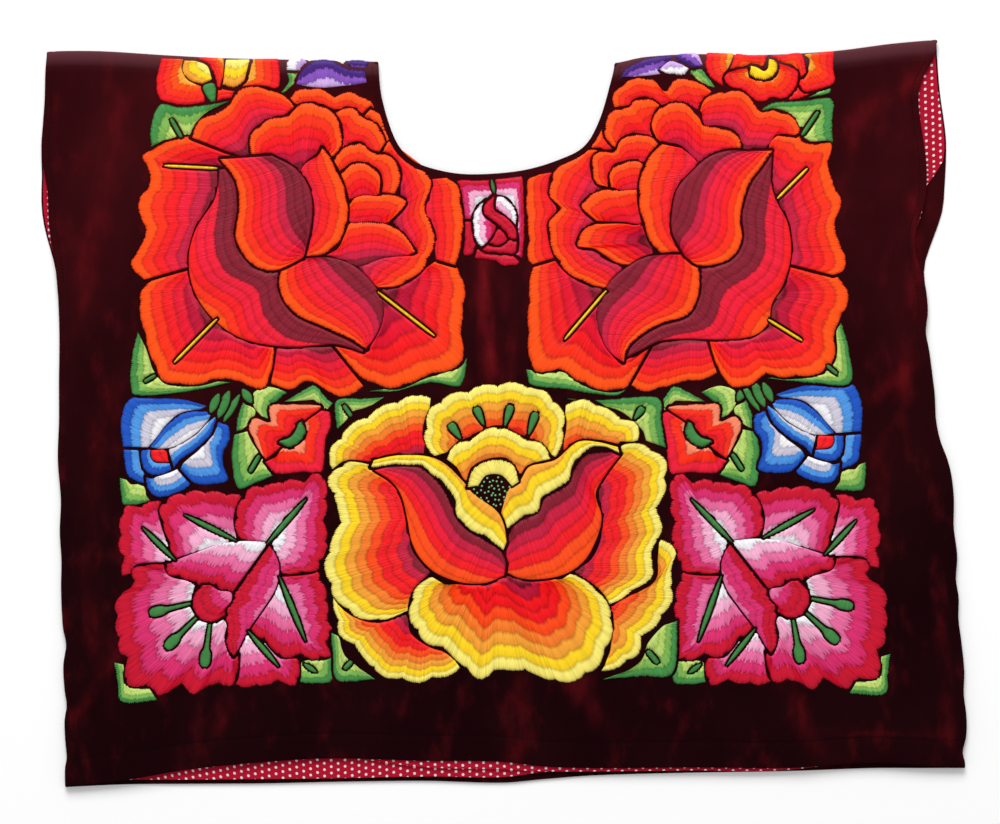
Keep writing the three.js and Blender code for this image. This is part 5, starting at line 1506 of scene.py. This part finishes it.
# %% Orchid table
ORCHID = [
    sprig("far left vein", "stem", (-61, 45), (-36, 19), 2.8, "lens"),
    sprig("top left vein", "stem", (-29, 54), (11, 33), 3.0, "lens"),
    sprig("top right vein", "stem", (65, 64), (34, 30), 3.2, "lens"),
    sprig("right vein", "stem", (62, -45), (43, 5), 3.2, "lens"),
    sprig("bottom vein", "stem", (41, -64), (18, -36), 3.0, "lens"),
    sprig("left anther", "stem", (-57, -21), (-25, -14), 6.6, "club"),
    sprig("middle anther", "stem", (-45, -48), (-21, -25), 7, "club"),
    sprig("right anther", "stem", (-16, -63), (-11, -30), 7, "club"),
    sprig("leaf vein", "stem", (60, -62), (70, -69), 3.0, "lens"),
    petal("bud", "orchid bud",
        lip=[(-16, -1), (-22, -8), (-23, -17), (-17, -26), (-8, -28), (0, -24)],
        foot=[(-10, -1), (-4, -5), (5, -7), (5, -14), (1, -17)]),
    petal("upper lens", "orchid",
        lip=[(-43, 16), (-40, 9), (-26, 5), (-18, 0), (-7, 0), (-1, -5), (6, -6)],
        foot=[(-40, 17), (-19, 24), (-4, 29), (15, 31), (33, 30)]),
    petal("lower lens", "orchid lens",
        lip=[(35, 28), (21, 15), (15, 6), (9, -4), (8, -11), (1, -17), (1, -24), (4, -32), (2, -41),
             (4, -50), (6, -54)],
        foot=[(37, 27), (41, 18), (42, 10), (39, -4), (30, -18), (19, -33), (13, -43), (8, -53)]),
    petal("big left", "orchid",
        lip=[(-45, 16), (-64, 15), (-69, 9), (-69, 0), (-80, -8), (-82, -26), (-80, -47), (-75, -56),
             (-75, -74), (-56, -77), (-50, -84), (-34, -76), (-23, -83), (-12, -76), (6, -75), (10, -55)],
        foot=[(-41, 9), (-24, 4), (-25, -6), (-24, -17), (-17, -26), (-8, -28), (2, -28), (5, -54)]),
    petal("top right", "orchid",
        lip=[(13, 36), (11, 50), (16, 64), (25, 73), (40, 75), (51, 78), (63, 77), (71, 82), (79, 79),
             (80, 61), (78, 45), (80, 29), (75, 17), (69, 9), (46, 7)],
        foot=[(33, 31), (56, 55), (64, 63), (56, 49), (40, 29), (45, 9)], meet=(0.51, 0.41)),
    petal("top left", "orchid",
        lip=[(-36, 19), (-40, 32), (-45, 49), (-46, 60), (-36, 68), (-20, 71), (-3, 70), (15, 66), (14, 57),
             (10, 48)],
        foot=[(-32, 19), (-19, 24), (-7, 28), (12, 33), (10, 39)], meet=(0.62, 0.7)),
    petal("right", "orchid",
        lip=[(46, 6), (60, 6), (71, 8), (76, -3), (79, -16), (78, -25), (81, -35), (78, -47), (80, -56),
             (68, -58), (57, -55), (44, -56), (37, -50), (32, -44), (24, -39), (20, -32)],
        foot=[(43, 4), (52, -17), (60, -43), (50, -20), (42, -3), (34, -15), (23, -29)], meet=(0.57, 0.39)),
    petal("far left", "orchid",
        lip=[(-78, 9), (-75, 20), (-78, 30), (-75, 58), (-62, 61), (-47, 65)],
        foot=[(-45, 16), (-38, 18), (-40, 29), (-43, 39)]),
    petal("bottom", "orchid",
        lip=[(8, -77), (24, -78), (39, -75), (54, -77), (56, -59)],
        foot=[(11, -52), (15, -39), (23, -39), (34, -48), (41, -57)]),
    petal("leaf left", "leaf",
        lip=[(-84, -59), (-82, -73), (-79, -88), (-54, -87)],
        foot=[(-77, -61), (-76, -72), (-72, -79), (-59, -79)]),
    petal("leaf right", "leaf",
        lip=[(57, -76), (69, -77), (81, -75), (81, -59)],
        foot=[(58, -64), (60, -62), (69, -60), (76, -59)]),
]
print("orchid:", len(ORCHID), "parts")

# %% [markdown]
# ## Blue flower
# A small flower beside each rose, with blue lips and a red heart.

# %% Blue flower table
BLUE_FLOWER = [
    sprig("inner sprig", "stem", (27, 25), (34, 40), 6, "lens"),
    sprig("middle sprig", "stem", (33, 21), (42, 42), 7, "lens"),
    sprig("outer sprig", "stem", (37, 18), (50, 39), 5, "lens"),
    petal("top", "blue flower",
        lip=[(-40, 2), (-41, 20), (-34, 37), (-14, 37), (5, 36), (23, 31)],
        foot=[(-22, 1), (-16, 8), (-7, 19), (4, 27), (23, 30)]),
    petal("upper middle", "blue flower",
        lip=[(-19, 1), (-12, 11), (-3, 19), (9, 26), (26, 26)],
        foot=[(-18, 0), (-4, 1), (7, 6), (17, 13), (27, 24)]),
    petal("lower middle", "blue flower",
        lip=[(-1, -15), (4, -9), (15, -2), (26, 8), (31, 19)],
        foot=[(-5, 0), (7, 2), (20, 11), (30, 21)]),
    petal("right", "blue flower",
        lip=[(32, 18), (40, 15), (41, 5), (36, -5), (36, -15), (39, -26), (28, -29), (14, -28), (4, -18)],
        foot=[(32, 14), (27, 5), (19, -4), (10, -11), (5, -15)]),
    petal("bottom", "blue flower",
        lip=[(-23, -24), (-21, -33), (-14, -38), (-2, -36), (9, -30), (9, -24)],
        foot=[(-18, -24), (-11, -23), (-4, -21), (3, -18)]),
    petal("cup", "blue flower",
        lip=[(-26, -1), (-26, -11), (-22, -19), (-14, -21), (-5, -18)],
        foot=[(-21, -2), (-21, -8), (-17, -13), (-9, -14), (-5, -14)]),
    petal("left", "blue flower",
        lip=[(-40, 0), (-39, -11), (-36, -22), (-26, -27)],
        foot=[(-29, -1), (-28, -11), (-27, -17), (-25, -24)]),
    petal("heart", "heart",
        lip=[(-20, -2), (-19, -8), (-14, -12)],
        foot=[(-6, -1), (-6, -7), (-6, -12)]),
    petal("leaf", "leaf",
        lip=[(-43, -24), (-42, -36), (-39, -44), (-20, -43)],
        foot=[(-39, -25), (-36, -29), (-27, -30), (-23, -37)]),
]
print("blue flower:", len(BLUE_FLOWER), "parts")

# %% [markdown]
# ## Small red flower
# A bean-like flower fills each gap between the rose and the lily.

# %% Small red flower table
SMALL_FLOWER = [
    petal("crescent", "stem",
        lip=[(-7, -4), (0, -7), (8, -3), (12, 4), (10, 11)],
        foot=[(-6, -2), (0, 0), (4, 4), (7, 10)]),
    sprig("leaf vein", "stem", (-23, -13), (-31, -26), 2.8, "even"),
    sprig("spur", "stem", (-35, 38), (-28, 27), 6, "lens"),
    petal("upper", "small upper",
        lip=[(-22, -11), (-30, 7), (-26, 15), (-14, 12), (-14, 24), (0, 25), (23, 24)],
        foot=[(-18, -15), (-10, -9), (0, 2), (11, 13), (24, 22)]),
    petal("lower", "small lower",
        lip=[(25, 20), (31, 18), (31, 7), (27, -3), (24, -26), (9, -26), (-10, -27), (-18, -19)],
        foot=[(13, 12), (14, 5), (9, -5), (-5, -10), (-10, -14)]),
    petal("leaf left", "leaf",
        lip=[(-42, 2), (-44, -16), (-40, -37), (-27, -34), (-14, -29)],
        foot=[(-33, 4), (-28, -5), (-22, -13), (-19, -20), (-15, -27)]),
    petal("leaf upper", "leaf",
        lip=[(-40, 4), (-39, 15), (-35, 27)],
        foot=[(-36, 7), (-30, 13), (-27, 21), (-33, 26)]),
    petal("leaf top", "leaf",
        lip=[(-14, 15), (-10, 27), (-2, 34)],
        foot=[(-20, 17), (-25, 24), (-25, 34), (-15, 38), (-7, 37)]),
    petal("leaf right", "leaf",
        lip=[(-2, 28), (9, 34), (20, 39), (28, 30), (33, 26)],
        foot=[(5, 28), (16, 30), (21, 29), (28, 21)]),
]
print("small red flower:", len(SMALL_FLOWER), "parts")

# %% [markdown]
# ## Bud
# A pale bud in a frame of pink sits under the neck.

# %% Bud table
BUD = [
    sprig("stalk", "stem", (0, 32), (2, 21), 2.4, "lens"),
    petal("curl", "bud",
        lip=[(1, 18), (-4, 14), (-6, 9), (-5, 5), (0, 1), (5, -3), (10, -8), (13, -13), (17, -14)],
        foot=[(1, 14), (1, 9), (4, 6), (9, 3), (14, -2), (17, -7), (18, -12)]),
    petal("pale left", "bud pale",
        lip=[(-5, 15), (-10, 11), (-14, 4), (-14, -5), (-13, -13), (-10, -18)],
        foot=[(-6, 12), (-5, 6), (-2, 0), (2, -4), (-1, -11), (-7, -18)]),
    petal("pale right", "bud pale",
        lip=[(2, 17), (7, 18), (13, 14), (17, 8), (18, 2), (17, -6)],
        foot=[(1, 13), (2, 9), (7, 6), (12, 2), (15, -3), (17, -6)]),
    petal("dome", "bud",
        lip=[(-2, -15), (1, -12), (2, -8), (6, -7), (10, -9), (11, -13)],
        foot=[(-1, -17), (4, -18), (9, -16), (11, -14)]),
    petal("lower bowl", "bud",
        lip=[(-9, -20), (-5, -23), (4, -24), (12, -25), (17, -24), (18, -19)],
        foot=[(-4, -17), (-2, -18), (5, -19), (10, -17), (12, -14), (17, -15)]),
    petal("lower lip", "bud",
        lip=[(-13, -28), (-6, -29), (1, -30), (7, -34), (17, -34)],
        foot=[(-11, -21), (-6, -25), (2, -24), (12, -26), (19, -31)]),
    petal("frame left", "bud frame",
        lip=[(-1, 31), (-13, 31), (-26, 31), (-26, 20), (-25, 9), (-23, 3), (-16, 2)],
        foot=[(-1, 21), (-6, 17), (-12, 12), (-15, 6), (-15, 3)]),
    petal("strip left", "bud",
        lip=[(-22, 0), (-21, -11), (-22, -25), (-14, -24)],
        foot=[(-15, 1), (-15, -10), (-14, -15), (-11, -20)]),
    petal("frame right", "bud frame",
        lip=[(4, 32), (13, 33), (23, 33), (24, 12), (24, -8), (22, -28)],
        foot=[(4, 20), (11, 18), (16, 12), (18, 3), (19, -7), (18, -15), (18, -25)]),
]
print("bud:", len(BUD), "parts")

# %% [markdown]
# ## Left shoulder
# The flowers on the shoulders run over the fold, so their tops are cut off by the outline.

# %% Left shoulder table
SHOULDER_LEFT = [
    sprig("stalk", "stem", (-9, -3), (-5, -18), 9, "drop"),
    petal("left", "flame",
        lip=[(-44, 16), (-48, 1), (-45, -14), (-27, -19), (-13, -17)],
        foot=[(-29, 15), (-30, 8), (-25, -1), (-13, -7)]),
    petal("egg", "gold",
        lip=[(-27, 14), (-29, 6), (-23, 0), (-12, -3)],
        foot=[(-18, 14), (-10, 10), (-7, 1)]),
    petal("strip", "flame",
        lip=[(-15, 16), (-7, 11), (-3, 1), (-2, -5)],
        foot=[(2, 15), (2, 8), (0, -5)]),
    petal("cup", "gold",
        lip=[(3, -4), (11, -6), (18, -2)],
        foot=[(6, 14), (14, 14), (22, 14)]),
    petal("right", "flame",
        lip=[(-2, -16), (15, -13), (32, -8), (45, -6), (45, 14)],
        foot=[(-2, -8), (15, -9), (23, 2), (26, 14)]),
]

VIOLET_LEFT = [
    petal("body", "violet",
        lip=[(-20, -2), (-14, 5), (-6, 9), (3, 9), (12, 4), (20, 1), (29, 0)],
        foot=[(-21, -8), (-12, -10), (-1, -11), (12, -10), (23, -9), (30, -8)]),
    petal("white", "violet pale",
        lip=[(-29, 3), (-29, 7), (-26, 11), (-21, 12)],
        foot=[(-19, 2), (-14, 6), (-16, 9), (-19, 11)]),
    petal("top", "violet pale",
        lip=[(-18, 11), (-6, 11), (5, 11), (15, 9)],
        foot=[(-13, 6), (-6, 9), (5, 10), (12, 5)]),
    petal("top end", "violet",
        lip=[(16, 8), (24, 9), (33, 7)],
        foot=[(18, 5), (23, 3), (30, 3)]),
    petal("leaf", "leaf",
        lip=[(-34, -15), (-28, -7), (-29, 1), (-25, 2)],
        foot=[(-31, -14), (-24, -7), (-21, 0)]),
]
print("left shoulder:", len(SHOULDER_LEFT) + len(VIOLET_LEFT), "parts")

# %% [markdown]
# ## Right shoulder
# The right shoulder was worked by hand as well, so it is a sister of the left and not its mirror.

# %% Right shoulder table
SHOULDER_RIGHT = [
    petal("crescent", "stamen",
        lip=[(-14, 8), (-14, 3), (-6, 0), (1, 1), (6, 7), (5, 13), (1, 15)],
        foot=[(-13, 10), (-9, 9), (-4, 6), (-1, 8), (0, 14)]),
    petal("left", "flame",
        lip=[(-47, 21), (-48, 11), (-45, 3), (-36, -4)],
        foot=[(-28, 19), (-30, 13), (-33, 7), (-36, 3)]),
    petal("cup", "flame",
        lip=[(-25, 7), (-35, 3), (-30, -5), (-20, -8), (-13, -15), (-4, -17), (1, -14), (11, -15), (19, -8),
             (22, 2), (19, 7), (9, 11)],
        foot=[(-16, 7), (-15, 3), (-8, -1), (0, 0), (5, 4), (7, 9)]),
    petal("upper left", "flame",
        lip=[(-32, 7), (-27, 19), (-14, 18), (-1, 18)],
        foot=[(-23, 8), (-16, 9), (-12, 12), (-5, 11)]),
    petal("upper right", "flame",
        lip=[(0, 18), (12, 18), (24, 19), (28, 6), (26, 2)],
        foot=[(5, 14), (11, 11), (19, 7), (23, 2)]),
    petal("right", "flame",
        lip=[(50, 19), (49, 8), (49, -4), (37, -9), (27, -10), (23, -5)],
        foot=[(29, 17), (32, 14), (32, 10), (29, 2), (25, 0)]),
    petal("lower", "flame",
        lip=[(6, -18), (18, -17), (33, -11)],
        foot=[(11, -15), (18, -9), (22, -7), (27, -10)]),
    petal("leaf", "leaf",
        lip=[(29, -15), (45, -12), (46, -6)],
        foot=[(32, -14), (38, -11), (40, -8)]),
]

VIOLET_RIGHT = [
    petal("pale", "violet pale",
        lip=[(3, -5), (11, -6), (16, -6), (19, -3)],
        foot=[(-1, -2), (6, 3), (13, 1), (18, -1)]),
    petal("body", "violet",
        lip=[(-32, -7), (-29, -2), (-18, 4), (-7, 7), (5, 8)],
        foot=[(-29, -7), (-19, -6), (-7, -5), (2, -3), (8, 3)]),
    petal("second", "violet",
        lip=[(7, 8), (14, 3), (22, -1)],
        foot=[(16, 9), (25, 9), (29, 1)]),
    petal("leaf", "leaf",
        lip=[(21, -5), (22, -2), (27, -1), (34, -8), (39, -16)],
        foot=[(23, -7), (32, -13), (37, -16)]),
]
print("right shoulder:", len(SHOULDER_RIGHT) + len(VIOLET_RIGHT), "parts")

# %% [markdown]
# ## Working the flowers
# The lower left flowers are mirrored for the right side. The flowers near the neck are worked first,
# because a later petal makes room for all that is already there.

# %% Motifs on the cloth
MOTIFS = named_rows(("motif", "table", "place", "mirror"), [
    ("rose_left", ROSE, (-153, 140), 1),
    ("rose_right", ROSE_RIGHT, (142, 132), 1),
    ("bud_centre", BUD, (-5, 146), 1),
    ("lily_centre", LILY, (-2, -93), 1),
    ("orchid_left", ORCHID, (-217, -127), 1),
    ("orchid_right", ORCHID, (207, -134), -1),
    ("blue_flower_left", BLUE_FLOWER, (-251, -21), 1),
    ("blue_flower_right", BLUE_FLOWER, (233, -22), -1),
    ("small_flower_left", SMALL_FLOWER, (-164, -16), 1),
    ("small_flower_right", SMALL_FLOWER, (151, -23), -1),
    ("shoulder_flower_left", SHOULDER_LEFT, (-211, 259), 1),
    ("shoulder_flower_right", SHOULDER_RIGHT, (209, 250), 1),
    ("violet_left", VIOLET_LEFT, (-130, 263), 1),
    ("violet_right", VIOLET_RIGHT, (128, 261), 1),
])
embroidery = []
for motif in MOTIFS:
    for piece in work_motif(motif):
        is_green = piece.name.endswith("_green")
        leaves = [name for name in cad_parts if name.startswith(motif["motif"] + "_leaf")]
        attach(piece, "root")
        if is_green and leaves:
            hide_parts(*leaves)
        else:
            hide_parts(motif["motif"])
        embroidery.append(piece)
print("embroidered pieces:", len(embroidery))
print("their faces:", sum(len(piece.data.polygons) for piece in embroidery))

# %% [markdown]
# ## Small stitches
# Knots and running stitches are short ends of thread that bite into the cloth. One small ball is
# copied for each, stretched along its stitch. The knots fill the bare heart of the lily; the dark
# running stitches hold neck, armholes, sides and hems.

# %% Knots and topstitching
KNOTS = {"place": (-11.6, -61.5), "spread": (15.5, 12), "count": 46, "size": (0.85, 0.85, 0.8), "sunk": 0.2}
KNOT_GREENS = ((70, 150, 86), (140, 200, 130))
STITCH = {"length": 2.3, "width": 0.6, "pitch": 3.0, "neck": 4.2, "sunk": 0.1}
STITCH_DARKS = ((12, 2, 8), (24, 5, 14))
STITCH_RANGES = {
    "sides": (ARMHOLE_BOTTOM - 1, -262, -4.0), "armholes": (ARMHOLE_BOTTOM + 4, 262, 4.0),
    "hem": (-334, 340, 5.0),
}
GOLDEN_TURN = 2.4


def ball_copies(name, places, directions, size, divisions):
    """One object made of many stretched balls."""
    bpy.ops.object.select_all(action="DESELECT")
    bpy.ops.mesh.primitive_ico_sphere_add(subdivisions=divisions, radius=1)
    ball = bpy.context.object
    corners = np.array([vertex.co[:] for vertex in ball.data.vertices]) * size
    faces = np.array([face.vertices[:] for face in ball.data.polygons])
    bpy.data.objects.remove(ball)
    turn_x, turn_y = directions[:, None, 0], directions[:, None, 1]
    x = corners[:, 0] * turn_x - corners[:, 1] * turn_y
    y = corners[:, 0] * turn_y + corners[:, 1] * turn_x
    z = np.broadcast_to(corners[:, 2], x.shape)
    points = np.stack([x, y, z], axis=-1) + places[:, None]
    all_faces = faces[None] + len(corners) * np.arange(len(places))[:, None, None]
    mesh = bpy.data.meshes.new(name)
    mesh.from_pydata((points.reshape(-1, 3) * MM).tolist(), [], all_faces.reshape(-1, 3).tolist())
    copies = bpy.data.objects.new(name, mesh)
    bpy.context.scene.collection.objects.link(copies)
    mesh.shade_smooth()
    return copies


def run_of_stitches(path):
    """Middles and directions of stitches at an even pitch along a path on the front."""
    count = max(2, int(even_points(path, 2)[1] / STITCH["pitch"]))
    middles = even_points(path, count)[0]
    along = np.gradient(middles, axis=0)
    along /= np.linalg.norm(along, axis=1)[:, None]
    return on_front(middles[:, 0], middles[:, 1], np.full(count, -STITCH["sunk"])), along


def speckled_thread(name, colour, roughness, scale, tones):
    """A thread whose colour wavers between two tones."""
    material, shader = plain_material(name, colour, roughness)
    place = node(material, "ShaderNodeTexCoord").outputs["Object"]
    tint = mix_colour(material, noise_at(material, place, scale), *tones)
    link(material, tint, shader.inputs["Base Color"])
    return material, shader


order = np.arange(KNOTS["count"])
radius = np.sqrt((order + 0.5) / KNOTS["count"])
knot_at = []
for middle, spread, turn in zip(KNOTS["place"], KNOTS["spread"], (np.cos, np.sin)):
    knot_at.append(middle + spread * radius * turn(GOLDEN_TURN * order) + draw.uniform(-1, 1, len(order)))
knot_places = on_front(*knot_at, np.full(len(order), -KNOTS["sunk"]))
turns = draw.uniform(0, 2 * np.pi, len(order))
knot_lies = np.column_stack([np.cos(turns), np.sin(turns)])
knots = ball_copies("lily_knots", knot_places, knot_lies, KNOTS["size"], 2)
knot_thread, _ = speckled_thread("knot thread", (88, 158, 74), 0.5, 900, KNOT_GREENS)
knots.data.materials.append(knot_thread)

heights = np.arange(*STITCH_RANGES["sides"])
arm_y = np.arange(*STITCH_RANGES["armholes"])
hem_x = np.arange(*STITCH_RANGES["hem"])
neck_path = grown(smooth_curve(NECK, NECK_STEPS), STITCH["neck"])
paths = [neck_path[neck_path[:, 1] < fold_line(neck_path[:, 0]) - 1]]
for edge, side in ((LEFT_EDGE, 1), (RIGHT_EDGE, -1)):
    for rows_y, line in ((heights, "side"), (arm_y, "armhole")):
        beside = read_table(edge, "y", "front", rows_y) + side * STITCH_LINES[line]
        paths.append(np.column_stack([beside, rows_y]))
paths.append(np.column_stack([hem_x, read_table(HEM, "x", "front", hem_x) + STITCH_LINES["hem"]]))
middles, directions = (np.concatenate(parts) for parts in zip(*(run_of_stitches(path) for path in paths)))
stitch_size = (STITCH["length"] / 2, STITCH["width"] / 2, STITCH["width"] / 2)
topstitching = ball_copies("topstitching", middles, directions, stitch_size, 1)
dark_thread, dark_shader = speckled_thread("dark thread", (24, 6, 16), 0.6, 1200, STITCH_DARKS)
dark_shader.inputs["Specular IOR Level"].default_value = 0.05
topstitching.data.materials.append(dark_thread)
print("knots:", KNOTS["count"], "running stitches:", len(middles))

# %% [markdown]
# ## Attaching the cloth
# The velvet, the neck roll, the lining, the knots and the running stitches are attached to the root
# body. The solids that a finer piece stands for are hidden.

for piece in (velvet_body, neck_roll, lining_piece, knots, topstitching):
    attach(piece, "root")
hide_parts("velvet_body")
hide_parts("cotton_lining")
